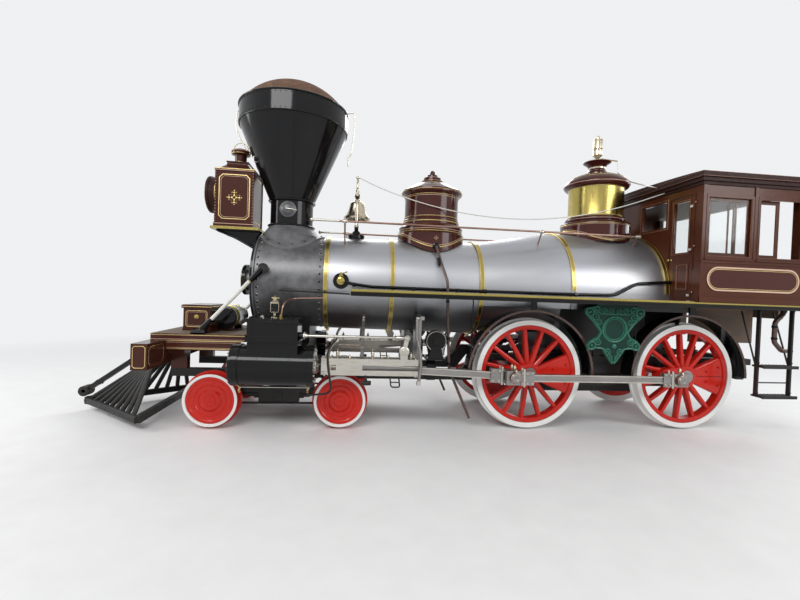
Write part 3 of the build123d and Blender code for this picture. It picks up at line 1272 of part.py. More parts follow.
# Ashpan under the firebox
with BuildPart() as ashpan:
    block((BACKHEAD_X + 280.0, MAIN_X - 360.0), (-380.0, 380.0), (430.0, 700.0))
write(ashpan, "ashpan")

# Bell cord from the bell's arm to the cab front
CORD_R = 7.0
CORD_POINTS = (
    (BELL_X - 28.0, ARM_Y, ARM_TOP_Z),
    (MAIN_X + 2145.0, 351.0, 3262.0),
    (MAIN_X + 1941.0, 369.0, 3187.0),
    (MAIN_X + 1737.0, 388.0, 3120.0),
    (MAIN_X + 1533.0, 406.0, 3060.0),
    (MAIN_X + 1329.0, 424.0, 3010.0),
    (MAIN_X + 1125.0, 443.0, 2967.0),
    (MAIN_X + 921.0, 461.0, 2932.0),
    (MAIN_X + 717.0, 480.0, 2905.0),
    (MAIN_X + 513.0, 498.0, 2887.0),
    (MAIN_X + 309.0, 516.0, 2876.0),
    (MAIN_X + 105.0, 535.0, 2874.0),
    (MAIN_X - 99.0, 553.0, 2880.0),
    (MAIN_X - 303.0, 572.0, 2895.0),
    (MAIN_X - 507.0, 590.0, 2919.0),
    (MAIN_X - 711.0, 609.0, 2951.0),
    (MAIN_X - 915.0, 627.0, 2993.0),
    (MAIN_X - 1119.0, 645.0, 3042.0),
    (MAIN_X - 1323.0, 664.0, 3101.0),
    (MAIN_X - 1527.0, 682.0, 3168.0),
    (MAIN_X - 1731.0, 701.0, 3244.0),
    (CAB_FRONT_X + 21.0, 718.0, 3314.0),
)


def cord_radii(points):
    """The largest arc that each corner of a free route has room for."""
    radii = []
    for before, corner, after in zip(points, points[1:], points[2:]):
        arriving = Vector(*corner) - Vector(*before)
        leaving = Vector(*after) - Vector(*corner)
        turn = math.radians(arriving.get_angle(leaving))
        radii.append(0.45 * min(arriving.length, leaving.length) / math.tan(turn / 2))
    return radii


with BuildPart() as bell_cord:
    add(tube(CORD_POINTS, cord_radii(CORD_POINTS), CORD_R))
write(bell_cord, "bell_cord")
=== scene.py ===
import bpy
import bmesh
import math
from mathutils import Matrix, Vector


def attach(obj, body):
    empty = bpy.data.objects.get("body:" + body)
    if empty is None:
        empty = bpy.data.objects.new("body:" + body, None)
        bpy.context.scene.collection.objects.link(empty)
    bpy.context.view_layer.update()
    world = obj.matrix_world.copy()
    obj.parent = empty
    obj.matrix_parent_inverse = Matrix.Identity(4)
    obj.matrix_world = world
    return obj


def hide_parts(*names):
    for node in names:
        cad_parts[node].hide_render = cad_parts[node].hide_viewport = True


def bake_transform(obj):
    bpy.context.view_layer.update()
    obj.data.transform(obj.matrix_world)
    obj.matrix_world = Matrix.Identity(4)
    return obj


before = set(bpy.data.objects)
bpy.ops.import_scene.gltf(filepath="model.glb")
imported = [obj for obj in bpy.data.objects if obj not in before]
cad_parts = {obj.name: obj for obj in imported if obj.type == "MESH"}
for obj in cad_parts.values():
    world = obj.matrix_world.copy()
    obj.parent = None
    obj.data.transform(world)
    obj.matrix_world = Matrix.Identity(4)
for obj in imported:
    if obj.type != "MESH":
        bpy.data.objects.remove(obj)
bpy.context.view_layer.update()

# Places on the locomotive, in metres: +X is ahead, +Y is the left side, +Z is up.
# An x is measured from the main axle, and Shape moves it to the axle's place in the frame.
MAIN_AXLE = Vector((-1.1, 0, 0))
REAR_X = -2.28
TRUCK_X = 3.31
STACK_X = TRUCK_X
BELL_X = 2.375
SAND_X = 1.27
STEAM_X = -1.33
CAB_FRONT_X = -1.945
CAB_REAR_X = -3.455
BOARD_END = -3.7
BOILER_Z = 1.89
DRIVER_Z = 0.752
TRUCK_Z = 0.358
TRUCK_HALF = 0.8
CYL_Y = 0.98
CYL_Z = 0.845
CAB_Y = 1.35
FLOOR_Z = 1.802
X = Vector((1, 0, 0))
Y = Vector((0, 1, 0))
Z = Vector((0, 0, 1))
# The left and the right side: the sign of y, and the way out
SIDES = ((1, Y), (-1, -Y))


# Materials: every one is built from nodes, with its own grain, wear and unevenness


def shader(name):
    """A new node material, with its shader and the object's own coordinates."""
    made = bpy.data.materials.new(name)
    made.use_nodes = True
    tree = made.node_tree
    return made, tree, tree.nodes["Principled BSDF"], tree.nodes.new("ShaderNodeTexCoord").outputs["Object"]


def put(tree, socket, value):
    """Links a socket or sets a number or colour on an input."""
    if isinstance(value, bpy.types.NodeSocket):
        tree.links.new(value, socket)
    else:
        socket.default_value = (*value, 1.0) if isinstance(value, tuple) else value


def noise(tree, place, scale, detail=4.0, rough=0.55, stretch=None):
    """A noise value over the object, drawn out along an axis if stretch is given."""
    if stretch:
        mapping = tree.nodes.new("ShaderNodeMapping")
        mapping.inputs["Scale"].default_value = stretch
        tree.links.new(place, mapping.inputs["Vector"])
        place = mapping.outputs["Vector"]
    node = tree.nodes.new("ShaderNodeTexNoise")
    for socket, value in (("Scale", scale), ("Detail", detail), ("Roughness", rough), ("Vector", place)):
        put(tree, node.inputs[socket], value)
    return node.outputs["Fac"]


def spread(tree, value, low, high, start=0.3, end=0.7):
    """A value mapped from its middle range to low..high."""
    node = tree.nodes.new("ShaderNodeMapRange")
    sockets = ("Value", "From Min", "From Max", "To Min", "To Max")
    for socket, number in zip(sockets, (value, start, end, low, high)):
        put(tree, node.inputs[socket], number)
    return node.outputs["Result"]


def part_of(tree, vector, axis):
    """One of a vector's three values."""
    split = tree.nodes.new("ShaderNodeSeparateXYZ")
    tree.links.new(vector, split.inputs[0])
    return split.outputs[axis]


def mixed(tree, share, first, second):
    """Two colours or colour sockets mixed by a share."""
    node = tree.nodes.new("ShaderNodeMix")
    node.data_type = "RGBA"
    colours = [s for s in node.inputs if s.type == "RGBA"]
    put(tree, next(s for s in node.inputs if s.name == "Factor"), share)
    put(tree, colours[0], first)
    put(tree, colours[1], second)
    return next(s for s in node.outputs if s.type == "RGBA")


def product(tree, first, second):
    """Two values multiplied."""
    node = tree.nodes.new("ShaderNodeMath")
    node.operation = "MULTIPLY"
    put(tree, node.inputs[0], first)
    put(tree, node.inputs[1], second)
    return node.outputs[0]


def bump(tree, principled, height, distance, strength=0.5):
    """Raises the surface by a height value."""
    node = tree.nodes.new("ShaderNodeBump")
    for socket, value in (("Distance", distance), ("Strength", strength), ("Height", height)):
        put(tree, node.inputs[socket], value)
    tree.links.new(node.outputs["Normal"], principled.inputs["Normal"])


def finish_paint(tree, principled, **values):
    """Sets the shader's inputs by name, with spaces for underlines."""
    for name, value in values.items():
        put(tree, principled.inputs[name.replace("_", " ")], value)


def top_dust_and_sheen(tree, amount, body, dust_and_sheen):
    """A colour made lighter on the surfaces that face up: dust, and on the graphite a painted reflection."""
    normal = tree.nodes.new("ShaderNodeNewGeometry").outputs["Normal"]
    share = spread(tree, part_of(tree, normal, "Z"), 0.0, amount, 0.6, 1.0)
    return mixed(tree, share, body, dust_and_sheen)


def painted(name, colour, rough, coat, vary, dust_and_sheen, shine):
    """Enamel: uneven in colour and gloss, faintly rippled, with dust on top."""
    made, tree, principled, place = shader(name)
    broad = noise(tree, place, 1.7, 5.0)
    fine = noise(tree, place, 21.0, 5.0, 0.6)
    dark = tuple(c * (1.0 - vary) for c in colour)
    light = tuple(min(1.0, c * (1.0 + vary)) for c in colour)
    body = mixed(tree, spread(tree, broad, 0.0, 1.0, 0.32, 0.68), dark, light)
    body = top_dust_and_sheen(tree, dust_and_sheen, body, tuple(0.4 * c + 0.05 for c in colour))
    gloss = spread(tree, fine, rough * 0.85, rough * 1.3)
    finish_paint(tree, principled, Base_Color=body, Roughness=gloss, Coat_Weight=coat,
                 Coat_Roughness=rough * 0.3, Specular_IOR_Level=shine)
    bump(tree, principled, noise(tree, place, 9.0, 2.0), 0.001, 0.12)
    return made


def metal(name, colour, rough, vary, stretch, tarnish, share):
    """Bare metal: drawn-out marks in its gloss, small dents and patches of tarnish."""
    made, tree, principled, place = shader(name)
    marks = noise(tree, place, 45.0, 6.0, 0.6, stretch)
    body = mixed(tree, spread(tree, marks, 0.0, 1.0), tuple(c * (1.0 - vary) for c in colour), colour)
    patches = noise(tree, place, 2.6, 6.0, 0.6)
    body = mixed(tree, spread(tree, patches, 0.0, share, 0.42, 0.72), body, tarnish)
    finish_paint(
        tree, principled, Base_Color=body,
        Roughness=spread(tree, marks, rough * 0.8, rough * 1.3), Metallic=1.0,
    )
    bump(tree, principled, marks, 0.0005, 0.2)
    return made


# Below the boards the firebox is made black as painted shade, and the barrel's underside is darkened with
# painted shade
SHADED_Z = (1.45, 1.78)
FIREBOX_EDGE_X = -1.72


def sheet_iron(name):
    """Planished blue-grey boiler jacket: a soft sheen with faint rolled streaks and waves, with painted shade
    on the barrel's underside and below the boards.
    """
    made, tree, principled, place = shader(name)
    streaks = noise(tree, place, 1.6, 6.0, 0.55, (0.3, 1.6, 1.6))
    broad = noise(tree, place, 0.9, 3.0)
    body = mixed(tree, spread(tree, streaks, 0.0, 1.0), (0.36, 0.37, 0.395), (0.45, 0.46, 0.485))
    body = mixed(tree, spread(tree, broad, 0.0, 0.5, 0.4, 0.7), body, (0.4, 0.39, 0.38))
    # Painted shade: the barrel darkens towards its underside
    low = spread(tree, part_of(tree, place, "Z"), 1.0, 0.0, *SHADED_Z)
    body = mixed(tree, product(tree, low, 0.82), body, (0.05, 0.05, 0.05))
    # Painted shade: the firebox below the boards is made black and not metallic
    behind = spread(tree, part_of(tree, place, "X"), 1.0, 0.0, FIREBOX_EDGE_X, FIREBOX_EDGE_X + 0.02)
    under = spread(tree, part_of(tree, place, "Z"), 1.0, 0.0, 1.755, 1.765)
    black = product(tree, behind, under)
    body = mixed(tree, black, body, (0.012, 0.012, 0.012))
    metallic = spread(tree, black, 0.9, 0.0, 0.0, 1.0)
    finish_paint(
        tree, principled, Base_Color=body, Roughness=spread(tree, streaks, 0.34, 0.43), Metallic=metallic,
    )
    bump(tree, principled, broad, 0.003, 0.12)
    return made


GRAPHITE = ((0.06, 0.06, 0.065), (0.2, 0.2, 0.205))


def graphite(name):
    """Smokebox iron rubbed with graphite: mottled satin grey, lighter on top with a painted reflection."""
    made, tree, principled, place = shader(name)
    blotch = noise(tree, place, 3.2, 9.0, 0.66)
    body = mixed(tree, spread(tree, blotch, 0.0, 1.0, 0.3, 0.72), *GRAPHITE)
    # Painted reflection: the surfaces that face up are lightened towards pale grey
    body = top_dust_and_sheen(tree, 0.2, body, (0.24, 0.235, 0.225))
    finish_paint(tree, principled, Base_Color=body, Roughness=spread(tree, blotch, 0.3, 0.48), Metallic=0.55)
    bump(tree, principled, noise(tree, place, 70.0, 5.0), 0.0008, 0.3)
    return made


def stack_coat(name):
    """Gloss black, with the saddle ring at its foot left in graphite."""
    made, tree, principled, place = shader(name)
    foot = spread(tree, part_of(tree, place, "Z"), 1.0, 0.0, 2.655, 2.66)
    blotch = noise(tree, place, 3.2, 9.0, 0.66)
    gloss = mixed(tree, spread(tree, blotch, 0.0, 1.0), (0.004, 0.004, 0.0045), (0.007, 0.007, 0.008))
    grey = mixed(tree, spread(tree, blotch, 0.0, 1.0), *GRAPHITE)
    body = mixed(tree, foot, gloss, grey)
    rough, coat = spread(tree, foot, 0.12, 0.42, 0.0, 1.0), spread(tree, foot, 0.12, 0.0, 0.0, 1.0)
    finish_paint(tree, principled, Base_Color=body, Roughness=rough, Coat_Weight=coat,
                 Coat_Roughness=0.03, Specular_IOR_Level=0.2)
    bump(tree, principled, noise(tree, place, 12.0, 2.0), 0.001, 0.12)
    return made


def brace_paint(name):
    """Braces painted white between black ends."""
    made, tree, principled, place = shader(name)
    height = part_of(tree, place, "Z")
    white = product(
        tree, spread(tree, height, 0.0, 1.0, 1.3, 1.305), spread(tree, height, 1.0, 0.0, 1.9, 1.905),
    )
    worn = noise(tree, place, 8.0, 6.0)
    pale = mixed(tree, spread(tree, worn, 0.0, 1.0), (0.62, 0.61, 0.57), (0.78, 0.77, 0.73))
    body = mixed(tree, white, (0.01, 0.01, 0.01), pale)
    finish_paint(tree, principled, Base_Color=body, Roughness=spread(tree, worn, 0.22, 0.4), Coat_Weight=0.15)
    bump(tree, principled, worn, 0.001, 0.15)
    return made


def rust_wire(name):
    """Woven wire of the spark screen, brown with rust."""
    made, tree, principled, place = shader(name)
    weave = tree.nodes.new("ShaderNodeTexVoronoi")
    put(tree, weave.inputs["Scale"], 55.0)
    tree.links.new(place, weave.inputs["Vector"])
    mesh = weave.outputs["Distance"]
    body = mixed(
        tree, spread(tree, noise(tree, place, 6.0, 8.0, 0.7), 0.0, 1.0),
        (0.10, 0.042, 0.02), (0.3, 0.15, 0.08),
    )
    body = mixed(tree, spread(tree, mesh, 0.0, 0.75, 0.25, 0.6), body, (0.035, 0.02, 0.013))
    finish_paint(tree, principled, Base_Color=body, Roughness=0.85)
    bump(tree, principled, mesh, 0.006, 0.8)
    return made


def boards(name, colour=(0.2, 0.145, 0.105)):
    """Worn floor boards with grain along X."""
    made, tree, principled, place = shader(name)
    grain = noise(tree, place, 12.0, 9.0, 0.7, (0.35, 7.0, 7.0))
    broad = noise(tree, place, 3.0, 4.0)
    body = mixed(tree, spread(tree, grain, 0.0, 1.0), tuple(c * 0.5 for c in colour), colour)
    body = mixed(tree, spread(tree, broad, 0.0, 0.5), body, tuple(c * 0.7 for c in colour))
    finish_paint(tree, principled, Base_Color=body, Roughness=0.7)
    bump(tree, principled, grain, 0.002, 0.4)
    return made


def window_glass(name):
    """Old window glass, slightly grey and uneven."""
    made, tree, principled, place = shader(name)
    smear = noise(tree, place, 18.0, 5.0)
    finish_paint(tree, principled, Base_Color=mixed(tree, smear, (0.84, 0.88, 0.88), (0.9, 0.93, 0.93)),
                 Roughness=spread(tree, smear, 0.02, 0.1), Transmission_Weight=1.0, IOR=1.2)
    bump(tree, principled, noise(tree, place, 3.0, 2.0), 0.004, 0.2)
    return made


def rope(name):
    """White cotton rope, darker in the grooves of its twist as painted shade, with its twist as bump."""
    made, tree, principled, place = shader(name)
    wave = tree.nodes.new("ShaderNodeTexWave")
    wave.bands_direction = "DIAGONAL"
    put(tree, wave.inputs["Scale"], 95.0)
    put(tree, wave.inputs["Distortion"], 0.6)
    tree.links.new(place, wave.inputs["Vector"])
    # Painted shade: the colour darkens where the twist's bump is low
    finish_paint(
        tree, principled,
        Base_Color=mixed(tree, wave.outputs["Fac"], (0.5, 0.48, 0.42), (0.84, 0.83, 0.78)), Roughness=0.85,
    )
    bump(tree, principled, wave.outputs["Fac"], 0.002, 0.6)
    return made


PAINTS = {
    # name: colour, roughness, coat, unevenness, dust, shine
    "black": ((0.004, 0.004, 0.0045), 0.1, 0.12, 0.2, 0.03, 0.2),
    "satin_black": ((0.008, 0.0075, 0.0075), 0.34, 0.0, 0.3, 0.1, 0.2),
    "iron": ((0.018, 0.0165, 0.0155), 0.46, 0.0, 0.35, 0.16, 0.3),
    "brown": ((0.058, 0.0145, 0.008), 0.18, 0.1, 0.14, 0.03, 0.2),
    "maroon": ((0.058, 0.0115, 0.008), 0.12, 0.15, 0.14, 0.03, 0.25),
    "wood": ((0.074, 0.021, 0.0095), 0.2, 0.08, 0.16, 0.03, 0.18),
    # Light brown for the lit edges of the cab's mouldings: a painted highlight
    "moulding": ((0.3, 0.14, 0.085), 0.22, 0.1, 0.12, 0.02, 0.25),
    "pipe_brown": ((0.085, 0.045, 0.034), 0.26, 0.1, 0.2, 0.05, 0.5),
    "red": ((0.55, 0.018, 0.01), 0.18, 0.12, 0.08, 0.01, 0.25),
    "white": ((0.8, 0.795, 0.77), 0.35, 0.1, 0.05, 0.03, 0.3),
    "cream": ((0.62, 0.42, 0.3), 0.32, 0.1, 0.08, 0.02, 0.3),
    "roof_brown": ((0.026, 0.0085, 0.006), 0.44, 0.0, 0.14, 0.0, 0.15),
    "green": ((0.014, 0.12, 0.078), 0.28, 0.1, 0.2, 0.03, 0.35),
    "deep_green": ((0.003, 0.028, 0.019), 0.4, 0.0, 0.3, 0.03, 0.2),
}
EVENLY, ALONG, UPWARDS = (1.0, 1.0, 1.0), (0.12, 1.0, 1.0), (1.0, 1.0, 0.1)
METALS = {
    # name: colour, roughness, unevenness, stretch of the marks, tarnish and its share
    "gold": ((0.72, 0.55, 0.24), 0.32, 0.15, EVENLY, (0.5, 0.36, 0.14), 0.3),
    "brass": ((0.46, 0.37, 0.11), 0.22, 0.15, UPWARDS, (0.26, 0.2, 0.06), 0.4),
    "bell_metal": ((0.62, 0.55, 0.42), 0.22, 0.15, EVENLY, (0.34, 0.26, 0.18), 0.5),
    "copper": ((0.4, 0.25, 0.2), 0.3, 0.2, EVENLY, (0.18, 0.1, 0.08), 0.55),
    "steel": ((0.62, 0.59, 0.53), 0.3, 0.2, ALONG, (0.38, 0.33, 0.26), 0.35),
    "rod_steel": ((0.34, 0.33, 0.32), 0.34, 0.25, ALONG, (0.17, 0.15, 0.13), 0.5),
    "white_steel": ((0.8, 0.79, 0.76), 0.32, 0.12, (0.3, 1.0, 1.0), (0.56, 0.54, 0.5), 0.25),
}
INKS = {name: painted(name, *look) for name, look in PAINTS.items()}
INKS |= {name: metal(name, *look) for name, look in METALS.items()}
for name, paint in (
    ("stack_paint", stack_coat), ("brace", brace_paint), ("jacket", sheet_iron), ("graphite", graphite),
    ("screen", rust_wire), ("deck", boards), ("glass", window_glass), ("rope", rope),
):
    INKS[name] = paint(name)

# What the kept CAD nodes are painted with
NODES_BY_INK = {
    "iron": "frame_left frame_right frame_stays pilot steps ashpan push_bar truck_frame springs",
    "satin_black": "saddle running_boards",
    "black": "cylinders steam_chests headlight_shelf bell_stand wheel_guards spring_drums feed_pipes",
    "graphite": "smokebox smokebox_door",
    "jacket": "boiler",
    "brass": "boiler_bands backhead_fittings",
    "bell_metal": "bell whistle",
    "stack_paint": "stack",
    "screen": "stack_screen",
    "brown": "headlight pilot_beam deck_box",
    "roof_brown": "cab_roof",
    "maroon": "sand_dome steam_dome",
    "copper": "handrails",
    "pipe_brown": "pipes",
    "wood": "cab_front cab_side_left cab_side_right seat_boxes cab_door_left cab_door_right",
    "deck": "cab_floor",
    "glass": "cab_glass",
    "brace": "braces",
    "steel": "guides crossheads valve_gear",
    "deep_green": "side_brackets",
    "rope": "bell_cord",
    "rod_steel": "yokes main_rod_left main_rod_right side_rod_left side_rod_right",
    "red": "main_wheels rear_wheels truck_front_wheels truck_rear_wheels",
    "white": "main_tyres rear_tyres",
}
for ink, nodes in NODES_BY_INK.items():
    for node in nodes.split():
        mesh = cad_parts[node].data
        mesh.materials.clear()
        mesh.materials.append(INKS[ink])


# Shapes: simple solids gathered into one mesh, each with its own material


def across(axis):
    """Two directions square to an axis."""
    side = axis.orthogonal().normalized()
    return side, axis.cross(side)


class Shape:
    """A mesh put together from solids of several materials, with its x measured from an origin."""

    def __init__(self, origin=MAIN_AXLE):
        self.mesh = bmesh.new()
        self.origin = origin
        self.inks = []

    def skin(self, rings, ink, closed=False, caps=True):
        """Faces between rings of points; the ends are capped, or joined if closed."""
        rows = [[self.mesh.verts.new(self.origin + Vector(point)) for point in ring] for ring in rings]
        pairs = list(zip(rows, rows[1:] + rows[:1])) if closed else list(zip(rows, rows[1:]))
        faces = []
        for low, high in pairs:
            for i in range(len(low)):
                j = (i + 1) % len(low)
                faces.append(self.mesh.faces.new((low[i], low[j], high[j], high[i])))
        if caps and not closed:
            faces.append(self.mesh.faces.new(rows[0][::-1]))
            faces.append(self.mesh.faces.new(rows[-1]))
        if ink not in self.inks:
            self.inks.append(ink)
        for face in faces:
            face.material_index = self.inks.index(ink)

    def lathe(self, centre, axis, profile, ink, steps=40, hollow=False):
        """Turned round an axis; the profile is (radius, distance along it), closed into a ring if hollow."""
        centre = Vector(centre)
        side, up = across(axis)
        turn = [2 * math.pi * i / steps for i in range(steps)]
        self.skin(
            [
                [centre + axis * h + (side * math.cos(a) + up * math.sin(a)) * max(r, 0.0005) for a in turn]
                for r, h in profile
            ],
            ink,
            closed=hollow,
        )

    def ring(self, centre, axis, radius, thick, ink, steps=48, sides=8):
        """A round ring of wire."""
        centre = Vector(centre)
        side, up = across(axis)
        rings = []
        for i in range(steps):
            a = 2 * math.pi * i / steps
            out = side * math.cos(a) + up * math.sin(a)
            rings.append([
                centre + out * (radius + thick * math.cos(b)) + axis * thick * math.sin(b)
                for b in (2 * math.pi * j / sides for j in range(sides))
            ])
        self.skin(rings, ink, closed=True)

    def prism(self, outline, depth, ink):
        """An outline of points pushed along a vector."""
        depth = Vector(depth)
        self.skin([[Vector(p) for p in outline], [Vector(p) + depth for p in outline]], ink)

    def box(self, x, y, z, ink):
        """A box between two values along each axis."""
        outline = [(x[0], y[0], z[0]), (x[1], y[0], z[0]), (x[1], y[1], z[0]), (x[0], y[1], z[0])]
        self.prism(outline, (0, 0, z[1] - z[0]), ink)

    def rod(self, start, end, radius, ink, steps=16, tip=None):
        """A round bar, tapered if tip is given."""
        start, end = Vector(start), Vector(end)
        reach = (end - start).length
        last = radius if tip is None else tip
        self.lathe(start, (end - start) / reach, ((radius, 0), (last, reach)), ink, steps)

    def tube(self, points, radius, ink, bend=0.06, steps=12):
        """A pipe along straight runs, with each corner rounded over a length."""
        points = [Vector(p) for p in points]
        path = [points[0]]
        for before, corner, after in zip(points, points[1:], points[2:]):
            back, on = before - corner, after - corner
            start = corner + back.normalized() * min(bend, back.length * 0.45)
            end = corner + on.normalized() * min(bend, on.length * 0.45)
            for i in range(7):
                t = i / 6
                path.append(start * (1 - t) ** 2 + corner * 2 * t * (1 - t) + end * t * t)
        path.append(points[-1])
        self.sweep(path, radius, ink, steps)

    def sweep(self, path, radius, ink, steps=12):
        """A round section carried along a line of points."""
        ahead = (path[1] - path[0]).normalized()
        side, _ = across(ahead)
        rings = []
        for i, point in enumerate(path):
            ahead = (path[min(i + 1, len(path) - 1)] - path[max(i - 1, 0)]).normalized()
            side = (side - ahead * side.dot(ahead)).normalized()
            up = ahead.cross(side)
            rings.append([
                point + (side * math.cos(a) + up * math.sin(a)) * radius
                for a in (2 * math.pi * j / steps for j in range(steps))
            ])
        self.skin(rings, ink)

    def line(self, points, out, width, ink, closed=True, lift=0.002):
        """A painted or raised line along a flat outline, mitred at its corners."""
        points = [Vector(p) for p in points]
        out = Vector(out).normalized()
        count = len(points)
        rings = []
        for i, point in enumerate(points):
            before = points[i - 1] if closed or i else None
            after = points[(i + 1) % count] if closed or i < count - 1 else None
            arrive = (point - before).normalized() if before else (after - point).normalized()
            leave = (after - point).normalized() if after else arrive
            normal = (arrive.cross(out) + leave.cross(out)).normalized()
            reach = width / 2 / max(0.3, normal.dot(arrive.cross(out)))
            rings.append([
                point - normal * reach, point + normal * reach,
                point + normal * reach + out * lift, point - normal * reach + out * lift,
            ])
        self.skin(rings, ink, closed=closed)

    def side_panel(self, y, x, z, width, ink, margin=0.0, cut=0.0, lift=0.002):
        """A line round a panel on an upright plane along the engine."""
        self.line(on_side(oblong(x, z, margin, cut), y), Y if y > 0 else -Y, width, ink, lift=lift)

    def front_panel(self, x, y, z, width, ink, margin=0.0, cut=0.0, lift=0.002, out=X):
        """A line round a panel on an upright plane across the engine."""
        self.line(on_front(oblong(y, z, margin, cut), x), out, width, ink, lift=lift)

    def studs(self, points, out, radius, height, ink, sides=8):
        """Round rivet heads on a surface."""
        for point in points:
            self.lathe(point, out, (
                (radius, -0.004), (radius, height * 0.35), (radius * 0.55, height),
            ), ink, sides)

    def nuts(self, points, out, radius, ink):
        """Hexagon nuts with the end of the bolt showing."""
        for point in points:
            self.lathe(point, out, ((radius, -0.004), (radius, radius * 0.9)), ink, 6)
            self.lathe(point, out, ((radius * 0.5, 0), (radius * 0.5, radius * 1.3)), ink, 8)

    def cup(self, foot, radius, height, ink):
        """An oil cup: a stem, a round body and a small cap."""
        r, h = radius, height
        profile = (
            (r * 0.45, 0), (r * 0.45, h * 0.2), (r, h * 0.3), (r, h * 0.66),
            (r * 0.8, h * 0.74), (r * 0.3, h * 0.8), (r * 0.3, h * 0.93), (r * 0.12, h),
        )
        self.lathe(foot, Z, profile, ink, 16)

    def make(self, name, slot, body="root", stands_for=(), bevel=0.0):
        """The finished piece, smoothed and on its body; its slot argument is not used."""
        bmesh.ops.recalc_face_normals(self.mesh, faces=self.mesh.faces)
        data = bpy.data.meshes.new(name)
        self.mesh.to_mesh(data)
        self.mesh.free()
        for ink in self.inks:
            data.materials.append(INKS[ink])
        data.shade_smooth()
        data.set_sharp_from_angle(angle=math.radians(32))
        piece = bpy.data.objects.new(name, data)
        bpy.context.scene.collection.objects.link(piece)
        if bevel:
            edge = piece.modifiers.new("edges", "BEVEL")
            edge.width = bevel
            edge.segments = 2
            edge.limit_method = "ANGLE"
            edge.angle_limit = math.radians(40)
        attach(piece, body)
        if stands_for:
            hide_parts(*stands_for)
        return piece


def round_points(centre, axis, radius, count, start=0.0):
    """Points evenly round a circle."""
    centre = Vector(centre)
    side, up = across(axis)
    turn = [start + 2 * math.pi * i / count for i in range(count)]
    return [centre + (side * math.cos(a) + up * math.sin(a)) * radius for a in turn]


def oblong(a, b, margin=0.0, cut=0.0):
    """Corners of a rectangle between two values along each axis, grown by a margin, its corners cut off."""
    grow, c = (margin, cut) if a[1] > a[0] else (-margin, -cut)
    a0, a1, b0, b1 = a[0] - grow, a[1] + grow, b[0] - margin, b[1] + margin
    if not cut:
        return [(a0, b0), (a1, b0), (a1, b1), (a0, b1)]
    return [
        (a0 + c, b0), (a1 - c, b0), (a1, b0 + cut), (a1, b1 - cut),
        (a1 - c, b1), (a0 + c, b1), (a0, b1 - cut), (a0, b0 + cut),
    ]


def on_side(outline, y):
    """Points given as x and z, put on an upright plane along the engine."""
    return [(a, y, b) for a, b in outline]


def on_front(outline, x):
    """Points given as y and z, put on an upright plane across the engine."""
    return [(x, a, b) for a, b in outline]


# Stack: seams and rivets up the cone, beads, the round door in its neck and the rods by the rim
STACK_SEAMS = (9.0, 72.0, 190.0, 262.0)


def stack_point(angle, radius, z):
    """A point round the stack; the angle runs from the left side towards the rear."""
    turn = math.radians(angle)
    return Vector((STACK_X - math.sin(turn) * radius, math.cos(turn) * radius, z))


def cone_radius(z):
    """The cone's radius at a height, between its foot and its rim."""
    return 0.312 + (z - 3.024) * (0.744 - 0.312) / (4.044 - 3.024)


def stack_dressing():
    shape = Shape()
    foot, top = 3.03, 4.04
    for seam in STACK_SEAMS:
        rings = []
        for z in (foot, top):
            r = cone_radius(z)
            lean = math.degrees(0.024 / r)
            rings.append([
                stack_point(seam - lean, r - 0.01, z), stack_point(seam + lean, r - 0.01, z),
                stack_point(seam + lean, r + 0.003, z), stack_point(seam - lean, r + 0.003, z),
            ])
        shape.skin(rings, "black")
        for i in range(27):
            z = foot + 0.02 + i * 0.0375
            out = stack_point(seam, 1.0, z) - stack_point(seam, 0.0, z)
            shape.studs(
                [stack_point(seam, cone_radius(z) + 0.003, z)], out.normalized(), 0.008, 0.006, "black", 6,
            )
    for z in (4.078, 4.275):
        for i in range(72):
            angle = i * 5.0
            out = stack_point(angle, 1.0, z) - stack_point(angle, 0.0, z)
            shape.studs([stack_point(angle, 0.757, z)], out, 0.0085, 0.007, "black", 6)
    for radius, z, thick in (
        (0.757, 4.305, 0.014), (0.753, 4.05, 0.009), (0.318, 3.022, 0.014), (0.322, 2.672, 0.012),
    ):
        shape.ring((STACK_X, 0, z), Z, radius, thick, "black", 72, 10)
    shape.ring((STACK_X, 0, 4.318), Z, 0.735, 0.012, "screen", 72, 8)
    for radius, z in ((0.62, 4.432), (0.44, 4.56), (0.22, 4.655)):
        shape.ring((STACK_X, 0, z), Z, radius, 0.006, "screen", 64, 6)
    for side, out in SIDES:
        door = (STACK_X + 0.009, side * 0.27, 2.879)
        profile = (
            (0.112, 0.0), (0.112, 0.034), (0.104, 0.042), (0.092, 0.045),
            (0.086, 0.05), (0.07, 0.066), (0.045, 0.079),
            (0.02, 0.084), (0.018, 0.1),
        )
        shape.lathe(door, out, profile, "graphite", 48)
        shape.rod(
            Vector(door) + out * 0.09 + X * 0.02,
            Vector(door) + out * 0.098 - X * 0.13 - Z * 0.02, 0.013, "steel", 16, 0.004,
        )
    for i in range(16):
        angle = math.radians(i * 22.5 + 11)
        x, y = STACK_X + math.cos(angle) * 0.445, math.sin(angle) * 0.445
        if x < 3.64:
            z = BOILER_Z + math.sqrt(0.66 ** 2 - y ** 2)
            out = Vector((0, y, z - BOILER_Z)).normalized()
            shape.nuts([(x, y, z)], out, 0.013, "graphite")
    for angle, points in (
        (-87.0, (
            (0.757, 4.3), (0.79, 4.27), (0.805, 4.15), (0.8, 4.02), (0.74, 3.86), (0.63, 3.7), (0.605, 3.68),
        )),
        (80.0, ((0.757, 4.31), (0.875, 4.33), (0.875, 4.08), (0.84, 3.74), (0.79, 3.68), (0.8, 3.56))),
    ):
        shape.tube([stack_point(angle, r, z) for r, z in points], 0.009, "steel", 0.05)
    hook = cone_radius(3.54)
    bend = ((-0.01, 3.575), (0.035, 3.575), (0.03, 3.505), (-0.03, 3.505))
    shape.tube([stack_point(-60.0, hook + r, z) for r, z in bend], 0.007, "steel", 0.015)
    shape.make("stack_fittings", "black_paint")


